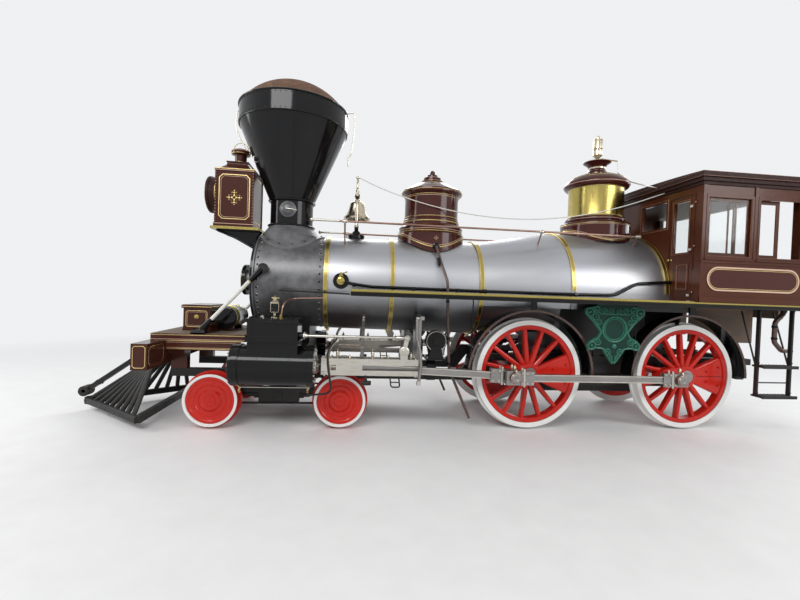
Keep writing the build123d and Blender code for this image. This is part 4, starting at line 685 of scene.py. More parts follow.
# Headlight: lens, panels with cut corners, studded corner strips, mouldings, roof and bail
LAMP_X = (3.8, 4.29)
LAMP_MIDDLE = sum(LAMP_X) / 2
LAMP_Y = 0.27
LAMP_Z = (2.65, 3.36)
LENS_Z = 3.075
LAMP_PANEL = ((LAMP_X[0] + 0.045, LAMP_X[1] - 0.045), (LAMP_Z[0] + 0.06, LAMP_Z[1] - 0.05))


def cross_flower(shape, centre, out, size, ink):
    """A small cross of four petals."""
    centre, out = Vector(centre), Vector(out)
    side = Z.cross(out)
    for arm in (side, -side, Z, -Z):
        wide = out.cross(arm)
        for root, tip, half in ((0.16, 0.46, 0.13), (0.5, 0.78, 0.15), (0.8, 1.0, 0.07)):
            middle = (root + tip) / 2
            outline = [
                centre + arm * size * root, centre + arm * size * middle + wide * size * half,
                centre + arm * size * tip, centre + arm * size * middle - wide * size * half,
            ]
            shape.prism(outline, out * 0.0025, ink)
        for turn in (-1, 1):
            curl = centre + (arm * 0.34 + wide * turn * 0.34) * size
            shape.ring(curl, out, size * 0.1, size * 0.028, ink, 20, 6)
            curl = centre + (arm * 0.66 + wide * turn * 0.27) * size
            shape.ring(curl, out, size * 0.065, size * 0.022, ink, 16, 6)
    shape.ring(centre, out, size * 0.2, size * 0.035, ink, 24, 6)


def headlight_dressing():
    shape = Shape()
    for side, out in SIDES:
        y = side * (LAMP_Y + 0.0005)
        shape.side_panel(y, *LAMP_PANEL, 0.011, "gold", cut=0.045)
        shape.side_panel(y, *LAMP_PANEL, 0.005, "cream", -0.023, 0.037)
        cross_flower(shape, (LAMP_MIDDLE, y, 3.0), out, 0.105, "gold")
        for x in LAMP_X:
            shape.box(
                (x - 0.012, x + 0.012), (side * (LAMP_Y - 0.012), side * (LAMP_Y + 0.006)), LAMP_Z, "maroon",
            )
            spots = [(x, side * (LAMP_Y + 0.006), LAMP_Z[0] + 0.025 + i * 0.0412) for i in range(17)]
            shape.studs(spots, out, 0.0055, 0.004, "cream", 6)
    for x, out in zip(LAMP_X, (-X, X)):
        z = (LAMP_Z[0] + 0.05, LAMP_Z[1] - 0.045)
        shape.front_panel(x + out.x * 0.0005, (-0.225, 0.225), z, 0.01, "gold", cut=0.045, out=out)
    for margin, z, ink in (
        (0.02, 2.6, "gold"), (0.021, 2.64, "cream"), (0.019, 3.366, "cream"), (0.019, 3.386, "gold"),
    ):
        shape.box(
            (LAMP_X[0] - margin, LAMP_X[1] + margin),
            (-LAMP_Y - margin, LAMP_Y + margin),
            (z - 0.004, z + 0.004),
            ink,
        )
    shape.skin([
        [(LAMP_MIDDLE + a * w, b * w, z) for a, b in ((-1, -1.1), (1, -1.1), (1, 1.1), (-1, 1.1))]
        for w, z in (
            (0.235, 3.3915), (0.2, 3.398), (0.165, 3.43),
            (0.145, 3.47), (0.14, 3.5), (0.15, 3.512), (0.15, 3.524),
        )
    ], "brown")
    shape.lathe((LAMP_MIDDLE, 0, 0), Z, (
        (0.085, 3.5), (0.085, 3.545), (0.08, 3.55), (0.076, 3.6), (0.084, 3.645), (0.126, 3.662),
        (0.129, 3.672), (0.129, 3.7), (0.12, 3.713), (0.075, 3.722), (0.07, 3.735), (0.02, 3.742),
    ), "brown", 40)
    shape.ring((LAMP_MIDDLE, 0, 3.664), Z, 0.127, 0.005, "gold")
    shape.ring((LAMP_MIDDLE, 0, 3.704), Z, 0.127, 0.005, "cream")
    shape.ring((LAMP_MIDDLE, 0, 3.548), Z, 0.085, 0.005, "gold")
    bail = [
        (LAMP_MIDDLE + math.cos(a) * 0.1, 0, 3.73 + math.sin(a) * 0.1)
        for a in (math.pi * i / 16 for i in range(17))
    ]
    shape.sweep([Vector(p) for p in bail], 0.005, "brass", 8)
    lens = (LAMP_X[1], 0, LENS_Z)
    shape.lathe(lens, X, (
        (0.262, -0.003), (0.262, 0.012), (0.25, 0.02), (0.245, 0.03), (0.245, 0.11), (0.255, 0.118),
        (0.255, 0.15), (0.246, 0.156), (0.232, 0.156), (0.226, 0.146), (0.226, 0.13),
    ), "roof_brown", 56)
    shape.lathe(lens, X, ((0.226, 0.13), (0.224, 0.147), (0.12, 0.1385), (0.02, 0.1365)), "white_steel", 56)
    shape.ring((LAMP_X[1] + 0.155, 0, LENS_Z), X, 0.24, 0.007, "steel", 56)
    shape.ring((LAMP_X[1] + 0.02, 0, LENS_Z), X, 0.256, 0.007, "gold", 56)
    shape.lathe(lens, X, ((0.225, 0.142), (0.225, 0.15), (0.12, 0.158), (0.02, 0.161)), "glass", 48)
    shape.lathe(lens, X, ((0.034, 0.136), (0.03, 0.145), (0.014, 0.152)), "white", 20)
    shape.make("headlight_dressing", "brown_paint", bevel=0.0008)

    shelf = Shape()
    x, y, z = (3.7, 4.331), 0.33, (2.562, 2.596)
    rim = [(x[0], -y), (x[1], -y), (x[1], y), (x[0], y)]
    for (ax, ay), (bx, by) in zip(rim, rim[1:] + rim[:1]):
        out = Vector((by - ay, ax - bx, 0)).normalized() * 0.003
        outline = [(ax, ay, z[0]), (bx, by, z[0]), (bx, by, z[1]), (ax, ay, z[1])]
        shelf.prism(outline, out, "brass")
    for side, out in SIDES:
        curve = [
            (3.735, side * 0.215, 2.3), (3.86, side * 0.215, 2.37),
            (4.05, side * 0.215, 2.47), (4.27, side * 0.215, 2.552),
        ]
        shelf.tube(curve, 0.016, "black", 0.1)
        shelf.nuts([(3.76, side * 0.199, z) for z in (2.38, 2.5)], out, 0.011, "black")
    shelf.make("headlight_shelf_edge", "brass")


# Smokebox: bright front edge, rivet rows, door dogs and the bare disc in the middle of the door
SMOKE_X = (2.78, 3.717)


def smokebox_dressing():
    shape = Shape()
    rear, face = Vector((SMOKE_X[0], 0, BOILER_Z)), Vector((SMOKE_X[1], 0, BOILER_Z))
    edge = ((0.64, -0.047), (0.66, -0.047), (0.666, -0.044), (0.668, -0.028), (0.64, -0.026))
    shape.lathe(face, X, edge, "graphite", 96, True)
    ring = ((0.64, -0.026), (0.664, -0.024), (0.664, 0.001), (0.652, 0.006), (0.53, 0.0065), (0.53, -0.002))
    shape.lathe(face, X, ring, "black", 96, True)
    for middle in (face - X * 0.085, rear + X * 0.055):
        for point in round_points(middle, X, 0.64, 40):
            out = (point - middle).normalized()
            shape.lathe(point, out, ((0.014, -0.004), (0.013, 0.004), (0.007, 0.009)), "black", 8)
            shape.ring(point + out * 0.001, out, 0.0145, 0.002, "steel", 10, 4)
    shape.nuts(round_points(face + X * 0.006, X, 0.58, 36), X, 0.012, "black")
    shape.lathe(rear, X, (
        (0.63, -0.001), (0.648, -0.001), (0.648, 0.012), (0.638, 0.016),
    ), "graphite", 96, True)
    for side, out in SIDES:
        shape.nuts(round_points((3.54, side * 0.722, 2.04), Y, 0.042, 6), out, 0.009, "black")
        top, foot = Vector((3.54, side * 0.7, 2.04)), Vector((4.3, side * 0.665, 1.215))
        along = (foot - top).normalized()
        shape.rod(top + along * 0.02, top + along * 0.24, 0.046, "black", 24, 0.029)
        shape.ring(top + along * 0.235, along, 0.028, 0.006, "brass", 24)
        shape.rod(foot - along * 0.2, foot - along * 0.02, 0.029, "black", 24, 0.04)
        shape.box((4.23, 4.41), (side * 0.615, side * 0.7), (1.168, 1.186), "black")
        shape.nuts([(x, side * 0.66, 1.225) for x in (4.26, 4.38)], Z, 0.014, "black")
        shape.tube([
            (3.333, side * 0.7, 1.762), (3.0, side * 0.705, 1.755),
            (2.6, side * 0.71, 1.747), (2.427, side * 0.74, 1.743),
        ], 0.012, "iron", 0.1)
    shape.lathe(face, X, ((0.311, -0.01), (0.34, -0.01), (0.34, 0.003), (0.311, 0.005)), "graphite", 72, True)
    shape.make("smokebox_fittings", "graphite")

    inside = Shape()
    back, front = SMOKE_X[0] + 0.06, SMOKE_X[1] - 0.045
    inside.lathe((0, 0, BOILER_Z), X, (
        (0.0, back + 0.001), (0.611, back + 0.001), (0.611, front - 0.001), (0.312, front - 0.001),
        (0.312, front - 0.005), (0.605, front - 0.005), (0.605, back + 0.006), (0.0, back + 0.006),
    ), "iron", 72, True)
    for row in range(-6, 7):
        for column in range(-7, 8):
            y, z = column * 0.066 + (row % 2) * 0.033, row * 0.058 - 0.06
            if math.hypot(y, z) < 0.47:
                inside.ring((back + 0.007, y, BOILER_Z + z), X, 0.022, 0.004, "pipe_brown", 12, 4)
                inside.lathe((back + 0.006, y, BOILER_Z + z), X, ((0.02, 0), (0.02, 0.002)), "black", 12)
    inside.lathe((STACK_X, 0, BOILER_Z), Z, (
        (0.14, -0.61), (0.14, -0.57), (0.08, -0.56), (0.08, -0.3),
        (0.11, -0.29), (0.11, -0.26), (0.075, -0.25),
        (0.055, -0.14),
    ), "iron", 40)
    inside.lathe((STACK_X, 0, BOILER_Z), Z, (
        (0.2, 0.02), (0.13, 0.16), (0.12, 0.4), (0.2, 0.58),
        (0.19, 0.59), (0.112, 0.4), (0.122, 0.16), (0.19, 0.02),
    ), "iron", 40, True)
    for side, _ in SIDES:
        inside.tube([
            (back, side * 0.1, BOILER_Z + 0.42), (back + 0.13, side * 0.24, BOILER_Z + 0.4),
            (back + 0.16, side * 0.47, BOILER_Z + 0.1), (back + 0.16, side * 0.45, BOILER_Z - 0.39),
        ], 0.055, "iron", 0.2, 20)
    inside.make("smokebox_inside", "dark_iron")

    door = Shape()
    centre = face + X * 0.048
    door.ring(centre - X * 0.006, X, 0.34, 0.011, "steel", 72, 8)
    door.lathe(centre, X, (
        (0.25, 0.0), (0.25, 0.05), (0.243, 0.056), (0.16, 0.062), (0.15, 0.07),
    ), "graphite", 64)
    door.nuts(round_points(centre, X, 0.3, 20), X, 0.009, "graphite")
    door.lathe(centre + X * 0.175, X, (
        (0.216, -0.045), (0.218, -0.004), (0.212, 0.004), (0.2, 0.005), (0.194, 0.001), (0.06, 0.0015),
    ), "black", 64)
    door.ring(centre + X * 0.179, X, 0.206, 0.006, "brass", 64)
    door.ring(centre + X * 0.177, X, 0.185, 0.002, "gold", 64)
    door.lathe(centre + X * 0.175, X, ((0.05, 0), (0.046, 0.026), (0.02, 0.034)), "brass", 32)
    for z in (BOILER_Z + dz for dz in (-0.195, -0.105, 0.105, 0.195)):
        door.box((centre.x - 0.001, centre.x + 0.012), (-0.39, -0.2), (z - 0.013, z + 0.013), "black")
        door.nuts([(centre.x + 0.012, y, z) for y in (-0.33, -0.27, -0.22)], X, 0.008, "black")
    for point in round_points(centre, X, 0.338, 10, 0.3):
        if point.y > -0.2:
            out = (point - centre).normalized()
            door.rod(point - out * 0.05, point + out * 0.008, 0.013, "black", 10)
            door.nuts([point - out * 0.012 + X * 0.01], X, 0.012, "steel")
    door.make("smokebox_door_fittings", "graphite", "smokebox_door", bevel=0.0015)


# Cylinders: head casings, nuts, drain cocks and their link; steam chests with lubricators and pipes
CYL_X = (2.822, 3.795)
CHEST_X = (3.014, 3.593)
CHEST_Z = (1.167, 1.424)


def cylinder_dressing():
    shape = Shape()
    for side, out in SIDES:
        rear, head = (Vector((x, side * CYL_Y, CYL_Z)) for x in CYL_X)
        shape.lathe(head, X, (
            (0.25, -0.03), (0.252, -0.004), (0.246, 0.006), (0.225, 0.012), (0.2, 0.013), (0.185, 0.022),
            (0.14, 0.042), (0.08, 0.054), (0.05, 0.056), (0.045, 0.064), (0.012, 0.067),
        ), "black", 64)
        shape.nuts(round_points(head + X * 0.012, X, 0.222, 14), X, 0.01, "black")
        wide_bead = ((0.248, -0.006), (0.257, -0.004), (0.257, 0.004), (0.248, 0.006))
        flat_bead = ((0.2445, -0.012), (0.2475, -0.01), (0.2475, 0.01), (0.2445, 0.012))
        for middle, bead in (
            (rear + X * 0.073, wide_bead), (head - X * 0.1, wide_bead),
            (rear + X * 0.28, flat_bead), (rear + X * 0.66, flat_bead),
        ):
            shape.lathe(middle, X, bead, "black", 64)
        shape.nuts(round_points(rear, -X, 0.2, 12, 0.2), -X, 0.013, "steel")
        gland = (
            (0.1, -0.01), (0.1, 0.02), (0.085, 0.03), (0.052, 0.075),
            (0.06, 0.078), (0.06, 0.092), (0.031, 0.1),
        )
        shape.lathe(rear, -X, gland, "steel", 32)
        for cock in (rear + X * 0.08 - Z * 0.262, head - X * 0.08 - Z * 0.262):
            shape.lathe(cock, -Z, (
                (0.02, -0.012), (0.02, 0.012), (0.013, 0.016), (0.013, 0.055), (0.017, 0.06), (0.011, 0.078),
            ), "brass", 12)
            shape.rod(cock - Z * 0.035 - out * 0.03, cock - Z * 0.035 + out * 0.045, 0.007, "brass", 8)
            shape.rod(cock - Z * 0.035 + out * 0.045, cock + out * 0.05 - X * 0.03, 0.006, "steel", 8)
        shape.rod(
            (CYL_X[0] + 0.05, side * (CYL_Y + 0.05), CYL_Z - 0.262),
            (CYL_X[1] - 0.11, side * (CYL_Y + 0.05), CYL_Z - 0.262), 0.006, "steel", 8,
        )
        chest_foot = (CHEST_Z[0] - 0.02, CHEST_Z[0] + 0.012)
        chest_edge = (CHEST_Z[1] - 0.045, CHEST_Z[1] - 0.036)
        for y, z in ((1.205, chest_foot), (1.22, chest_edge)):
            shape.box((CHEST_X[0] - 0.02, CHEST_X[1] + 0.02), (side * 0.75, side * y), z, "black")
        for i in range(9):
            x = CHEST_X[0] + 0.03 + i * 0.065
            shape.nuts([(x, side * 1.185, CHEST_Z[1]), (x, side * 0.79, CHEST_Z[1])], Z, 0.013, "black")
            shape.nuts([(x, side * 1.195, CHEST_Z[0] - 0.02)], -Z, 0.011, "black")
        for y in (0.87, 0.95, 1.03, 1.11):
            shape.nuts([
                (CHEST_X[0] + 0.01, side * y, CHEST_Z[1]), (CHEST_X[1] - 0.01, side * y, CHEST_Z[1]),
            ], Z, 0.013, "black")
        panel = (CHEST_X[0] + 0.05, CHEST_X[1] - 0.05), (CHEST_Z[0] + 0.045, CHEST_Z[1] - 0.075)
        shape.side_panel(side * 1.2005, *panel, 0.006, "black", cut=0.02, lift=0.004)
        lid = (CHEST_X[0] - 0.012, CHEST_X[1] + 0.012), (CHEST_Z[1] - 0.03, CHEST_Z[1] - 0.006)
        shape.side_panel(side * 1.2145, *lid, 0.003, "black")
        shape.lathe((CHEST_X[0] - 0.07, side * 1.07, 1.223), -X, (
            (0.05, -0.012), (0.05, 0.0), (0.03, 0.004), (0.03, 0.028), (0.018, 0.032),
        ), "steel", 24)
        shape.nuts(
            [(CHEST_X[0] - 0.058, side * (1.07 + d), 1.223) for d in (-0.058, 0.058)], -X, 0.012, "steel",
        )
        # The lubricator on the chest: a foot, a glass between thin pillars and a cap
        lub = (3.325, side * 0.96, 0)
        shape.lathe(lub, Z, (
            (0.046, 1.424), (0.046, 1.432), (0.03, 1.442), (0.018, 1.452),
            (0.018, 1.478), (0.052, 1.486), (0.055, 1.494), (0.0505, 1.498),
        ), "bell_metal", 28)
        shape.lathe(lub, Z, ((0.0515, 1.496), (0.0525, 1.54), (0.0515, 1.594)), "glass", 28)
        shape.lathe(lub, Z, (
            (0.05, 1.592), (0.061, 1.597), (0.061, 1.612),
            (0.05, 1.628), (0.026, 1.64), (0.026, 1.672), (0.014, 1.69),
        ), "bell_metal", 28)
        for a in (0.5, 2.6, 4.7):
            spot = Vector((lub[0] + math.cos(a) * 0.055, lub[1] + math.sin(a) * 0.055, 1.49))
            shape.rod(spot, spot + Z * 0.115, 0.0045, "bell_metal", 8)
        shape.rod((lub[0] - 0.045, lub[1], 1.664), (lub[0] + 0.045, lub[1], 1.664), 0.006, "brass", 8)
        pipe = [
            (3.249, side * 0.983, 1.424), (3.23, side * 0.97, 1.6),
            (3.15, side * 0.76, 1.66), (2.773, side * 0.7, 1.678),
        ]
        shape.tube(pipe, 0.0125, "copper", 0.08)
        shape.lathe(pipe[0], Z, ((0.026, 0), (0.026, 0.012), (0.017, 0.016), (0.017, 0.04)), "brass", 6)
        shape.nuts([(3.45, side * 1.08, 1.424)], Z, 0.024, "steel")
    shape.make("cylinder_fittings", "black_paint", bevel=0.0012)


# Guides and valve gear: oil cups, bolts and the rocker's round ends
GUIDE_Y = (0.903, 1.057)
GUIDE_Z = (0.75, 0.955)


def motion_dressing():
    shape = Shape()
    for side, out in SIDES:
        for x, r, h in (
            (2.545, 0.021, 0.12), (2.12, 0.021, 0.12),
            (2.005, 0.014, 0.06), (1.925, 0.014, 0.06), (1.64, 0.018, 0.09),
        ):
            shape.cup((x, side * GUIDE_Y[1], GUIDE_Z[1]), r, h, "bell_metal")
        for x in (1.58, 2.62, 2.7):
            for z, up in zip(GUIDE_Z[::-1], (Z, -Z)):
                shape.nuts([(x, side * y, z) for y in GUIDE_Y], up, 0.014, "steel")
        for z in (0.916, 0.777):
            shape.nuts([(x, side * 1.08, z) for x in (1.6, 2.66, 2.72)], out, 0.012, "steel")
        for x, z, r in ((1.699, 1.223, 0.034), (1.73, 1.058, 0.058)):
            shape.lathe((x, side * 1.088, z), out, (
                (r, 0), (r, 0.008), (r * 0.8, 0.014), (r * 0.45, 0.015), (r * 0.42, 0.026), (r * 0.2, 0.028),
            ), "steel", 28)
        shape.lathe((1.745, side * 1.07, 1.223), X, ((0.028, 0), (0.028, 0.07), (0.019, 0.09)), "steel", 20)
        shape.tube([
            (2.56, side * 1.06, 1.18), (2.64, side * 1.02, 1.06), (2.66, side * 0.98, 0.96),
        ], 0.012, "steel", 0.05)
        shape.lathe((2.56, side * 1.06, 1.18), out, ((0.026, -0.012), (0.026, 0.012)), "steel", 20)
        top, foot = Vector((2.232, side * 0.54, 1.46)), Vector((2.247, side * 0.9, 0.97))
        shape.nuts([top + (foot - top) * share + out * 0.012 for share in (0.05, 0.12)], out, 0.012, "steel")
        shape.lathe((1.544, side * 1.102, 0.65), -Z, (
            (0.021, -0.05), (0.026, -0.03), (0.026, 0), (0.012, 0.008),
        ), "steel", 20)
        shape.nuts([(1.588, side * 1.128, 1.478)], out, 0.016, "steel")
        shape.tube(
            [(x, side * 1.064, z) for x, z in ((1.9, 0.76), (1.88, 0.61), (1.77, 0.61), (1.79, 0.76))],
            0.009, "iron", 0.03,
        )
        shape.rod((1.89, side * 1.064, 0.67), (1.78, side * 1.064, 0.67), 0.008, "iron")
        shape.rod((2.2, side * 1.072, 0.755), (2.19, side * 1.072, 0.64), 0.018, "iron")
        shape.lathe((2.19, side * 1.072, 0.66), X, (
            (0.026, -0.06), (0.03, -0.03), (0.03, 0.03), (0.026, 0.06),
        ), "iron", 20)
        shape.tube([
            (2.56, side * 1.075, 1.2), (2.667, side * 1.1, 1.06), (2.661, side * 1.1, 0.89),
            (2.6, side * 1.08, 0.53), (2.92, side * 1.03, 0.49),
        ], 0.013, "iron", 0.1)
        drum = (1.292, side * 0.872, 1.17)
        shape.lathe(drum, out, (
            (0.142, -0.02), (0.142, 0.004), (0.134, 0.01), (0.12, 0.011),
            (0.11, 0.006), (0.05, 0.008), (0.046, 0.022), (0.02, 0.024),
        ), "satin_black", 48)
        shape.ring(Vector(drum) + out * 0.012, Y, 0.127, 0.004, "steel", 48, 6)
        shape.nuts(round_points(Vector(drum) + out * 0.006, Y, 0.085, 5), out, 0.009, "satin_black")
        shape.nuts([(1.292 + d, side * 0.86, 0.947) for d in (-0.11, 0.11)], Z, 0.014, "steel")
    shape.make("motion_fittings", "bright_steel", bevel=0.001)


# Rods: straps with bolts and keys, raised edges, brass liners and oil cups
THROW = 0.305
ROD_LENGTH = math.hypot(2.095, CYL_Z - DRIVER_Z)
RIGHT_WRIST = math.sqrt(ROD_LENGTH ** 2 - (CYL_Z - DRIVER_Z - THROW) ** 2)

# Each rod's two ends: length of the stub from its pin, half height, half thickness
MAIN_ENDS = ((0.29, 0.09, 0.04), (0.0, 0.072, 0.035))
SIDE_ENDS = ((0.25, 0.09, 0.032), (0.25, 0.09, 0.032))


def rod_dressing(name, y, pin, eye, half, faces, ends):
    """One rod between two points in x and z; an end is its stub's length, half height and half thickness."""
    shape = Shape()
    pin, eye = Vector((pin[0], y, pin[1])), Vector((eye[0], y, eye[1]))
    along = (eye - pin).normalized()
    up = along.cross(Vector((0, -1, 0)))
    up = up if up.z > 0 else -up
    runs = [max(front, 0.07) for front, _, _ in ends]
    for face in (-1, 1):
        out = Vector((0, face, 0))
        level = out * faces
        for edge in (-half + 0.007, half - 0.007):
            first, last = pin + along * runs[0] + level, eye - along * runs[1] + level
            low, high = up * (edge - 0.006), up * (edge + 0.006)
            run = [first + low, last + low, last + high, first + high]
            shape.prism(run, out * 0.006, "steel")
        for spot, sense, (front, tall, thick) in ((pin, 1, ends[0]), (eye, -1, ends[1])):
            level = out * thick
            shape.lathe(spot + level, out, ((0.062, -0.004), (0.062, 0.006), (0.048, 0.009)), "brass", 32)
            if front:
                for reach in (0.36, 0.62, 0.9):
                    shape.nuts([
                        spot + along * sense * front * reach + level + up * tall * d for d in (-0.72, 0.72)
                    ], out, 0.013, "steel")
                seam = spot + along * sense * front * 0.3 + level
                wide, high = along * 0.004, up * tall
                shape.prism(
                    [seam - high, seam + wide - high, seam + wide + high, seam + high],
                    out * 0.0015, "satin_black",
                )
                key = spot + along * sense * front * 0.48 + level
                shape.prism([
                    key - along * 0.012 - up * (tall + 0.02), key + along * 0.012 - up * (tall + 0.02),
                    key + along * 0.018 + up * (tall + 0.03), key - along * 0.006 + up * (tall + 0.03),
                ], out * 0.008, "steel")
    for spot, (_, tall, _) in ((pin, ends[0]), (eye, ends[1])):
        shape.cup(spot + Z * (tall - 0.004), 0.02, 0.08, "bell_metal")
    shape.make(name + "_fittings", "rod_steel", name, bevel=0.001)


def all_rods():
    """A main rod and a side rod on each side, each on a body of its own."""
    for side, word, pin_x, pin_z, wrist in (
        (1, "left", THROW, 0.0, 2.4), (-1, "right", 0.0, THROW, RIGHT_WRIST),
    ):
        crank = (pin_x, DRIVER_Z + pin_z)
        rod_dressing("main_rod_" + word, side * CYL_Y, crank, (wrist, CYL_Z), 0.046, 0.026, MAIN_ENDS)
        rear = (REAR_X + pin_x, DRIVER_Z + pin_z)
        rod_dressing("side_rod_" + word, side * 1.08, rear, crank, 0.046, 0.02, SIDE_ENDS)


# Wheels: hub and pin caps, counterweight bolts, a dark gap inside each tyre, beads on the truck wheels
TYRE_OUT = 0.82


def wheel_dressing():
    for axle_x, word in ((0.0, "main"), (REAR_X, "rear")):
        shape = Shape()
        for side, pin_x, pin_z in ((1, THROW, 0.0), (-1, 0.0, THROW)):
            out = Y * side
            axle = Vector((axle_x, 0, DRIVER_Z))
            face = Vector((axle_x, side * 0.85, DRIVER_Z))
            crank = Vector((pin_x, 0, pin_z)).normalized()
            lift = crank.cross(Vector((0, -1, 0)))
            shape.lathe(face, out, (
                (0.151, -0.03), (0.151, -0.006), (0.14, 0.004), (0.105, 0.006), (0.098, 0.001), (0.09, 0.001),
            ), "red", 48)
            shape.lathe(face, out, (
                (0.09, 0), (0.088, 0.012), (0.03, 0.014), (0.022, 0.008), (0.001, 0.008),
            ), "rod_steel", 40)
            shape.ring(axle + out * (TYRE_OUT - 0.004), Y, 0.6595, 0.003, "satin_black", 96, 6)
            shape.ring(axle + out * (TYRE_OUT + 0.0005), Y, 0.7215, 0.003, "white", 96, 6)
            shape.ring(axle + out * 0.807, Y, 0.612, 0.006, "red", 80, 6)
            weight = axle - crank * 0.5 + out * 0.803
            shape.prism([
                weight - crank * 0.09 - lift * 0.002, weight + crank * 0.3 - lift * 0.002,
                weight + crank * 0.3 + lift * 0.002, weight - crank * 0.09 + lift * 0.002,
            ], out * 0.0015, "satin_black")
            places = ((-0.03, -0.13), (-0.03, 0.13), (0.15, -0.07), (0.15, 0.07))
            shape.nuts([weight + crank * a + lift * b for a, b in places], out, 0.016, "red")
            for number in range(15):
                turn = (number + 0.5) * 2 * math.pi / 15
                arm = (crank * math.cos(turn) + lift * math.sin(turn)).normalized()
                wide = arm.cross(out)
                if arm.dot(-crank) < 0.93:
                    rings = []
                    for reach, half, rise in ((0.14, 0.031, 0.012), (0.36, 0.024, 0.009), (0.6, 0.02, 0.005)):
                        base, edge = axle + arm * reach + out * 0.789, wide * half
                        ridge = base + out * rise
                        rings.append([base - edge, base + edge, ridge + edge * 0.45, ridge - edge * 0.45])
                    shape.skin(rings, "red")
            pin = axle + Vector((pin_x, 0, pin_z))
            cap = pin + out * 1.155
            shape.lathe(cap, out, (
                (0.066, -0.03), (0.066, -0.004), (0.056, 0.006),
                (0.03, 0.008), (0.022, 0.002), (0.001, 0.002),
            ), "rod_steel", 32)
            shape.ring(cap - out * 0.012, Y, 0.066, 0.004, "steel", 32, 8)
            shape.cup(pin + out * 1.135 + Z * 0.06, 0.015, 0.06, "bell_metal")
        shape.make(word + "_wheel_fittings", "red_paint", word + "_axle", bevel=0.001)
    for end, word in ((TRUCK_HALF, "truck_front"), (-TRUCK_HALF, "truck_rear")):
        shape = Shape()
        for side, out in SIDES:
            face = Vector((TRUCK_X + end, side * TYRE_OUT, TRUCK_Z))
            shape.lathe(face, out, (
                (0.329, -0.01), (0.329, 0.0015), (0.3, 0.0025), (0.294, -0.001), (0.294, -0.02),
            ), "white", 72, True)
            disc = face - out * 0.022
            shape.lathe(disc, out, (
                (0.296, 0.0), (0.29, 0.01), (0.262, 0.012), (0.25, 0.003), (0.205, 0.002), (0.198, 0.009),
                (0.19, 0.009), (0.182, 0.002), (0.145, 0.004), (0.125, 0.02), (0.118, 0.03), (0.098, 0.034),
                (0.092, 0.029), (0.072, 0.029), (0.066, 0.041), (0.05, 0.042), (0.046, 0.037), (0.028, 0.037),
                (0.024, 0.044), (0.012, 0.044), (0.009, 0.038),
            ), "red", 72)
            shape.studs(round_points(disc + out * 0.002, Y, 0.222, 4, 0.6), out, 0.013, 0.006, "red", 12)
        shape.make(word + "_wheel_rims", "red_paint", word + "_axle")


def truck_dressing():
    """Caps and bolts of the truck's axle boxes, its leaf springs and the bar below them."""
    shape = Shape()
    for side, out in SIDES:
        for x in (TRUCK_X - TRUCK_HALF, TRUCK_X + TRUCK_HALF):
            shape.box(
                (x - 0.125, x + 0.125), (side * 0.535, side * 0.625),
                (TRUCK_Z + 0.125, TRUCK_Z + 0.15), "iron",
            )
            shape.nuts([(x + dx, side * 0.58, TRUCK_Z + 0.15) for dx in (-0.1, 0.1)], Z, 0.014, "iron")
            shape.box(
                (x - 0.095, x + 0.095), (side * 0.62, side * 0.628), (TRUCK_Z - 0.09, TRUCK_Z + 0.05), "iron",
            )
            shape.nuts(
                [(x + dx, side * 0.628, TRUCK_Z + dz) for dx in (-0.075, 0.075) for dz in (-0.07, 0.03)],
                out, 0.01, "iron",
            )
        for i in range(6):
            half = 0.56 - i * 0.08
            drop = TRUCK_Z + 0.05 - i * 0.016
            shape.box(
                (TRUCK_X - half, TRUCK_X + half), (side * 0.545, side * 0.615), (drop - 0.014, drop), "iron",
            )
        shape.box(
            (TRUCK_X - 0.05, TRUCK_X + 0.05), (side * 0.535, side * 0.625),
            (TRUCK_Z - 0.05, TRUCK_Z + 0.066), "iron",
        )
        shape.rod(
            (TRUCK_X - 0.72, side * 0.58, TRUCK_Z - 0.085),
            (TRUCK_X + 0.72, side * 0.58, TRUCK_Z - 0.085), 0.014, "iron",
        )
    shape.make("truck_springs", "dark_iron", "truck", bevel=0.002)


# Bell with its beads and clapper, and the turned posts of its stand
BELL_PIVOT_Z = 3.124


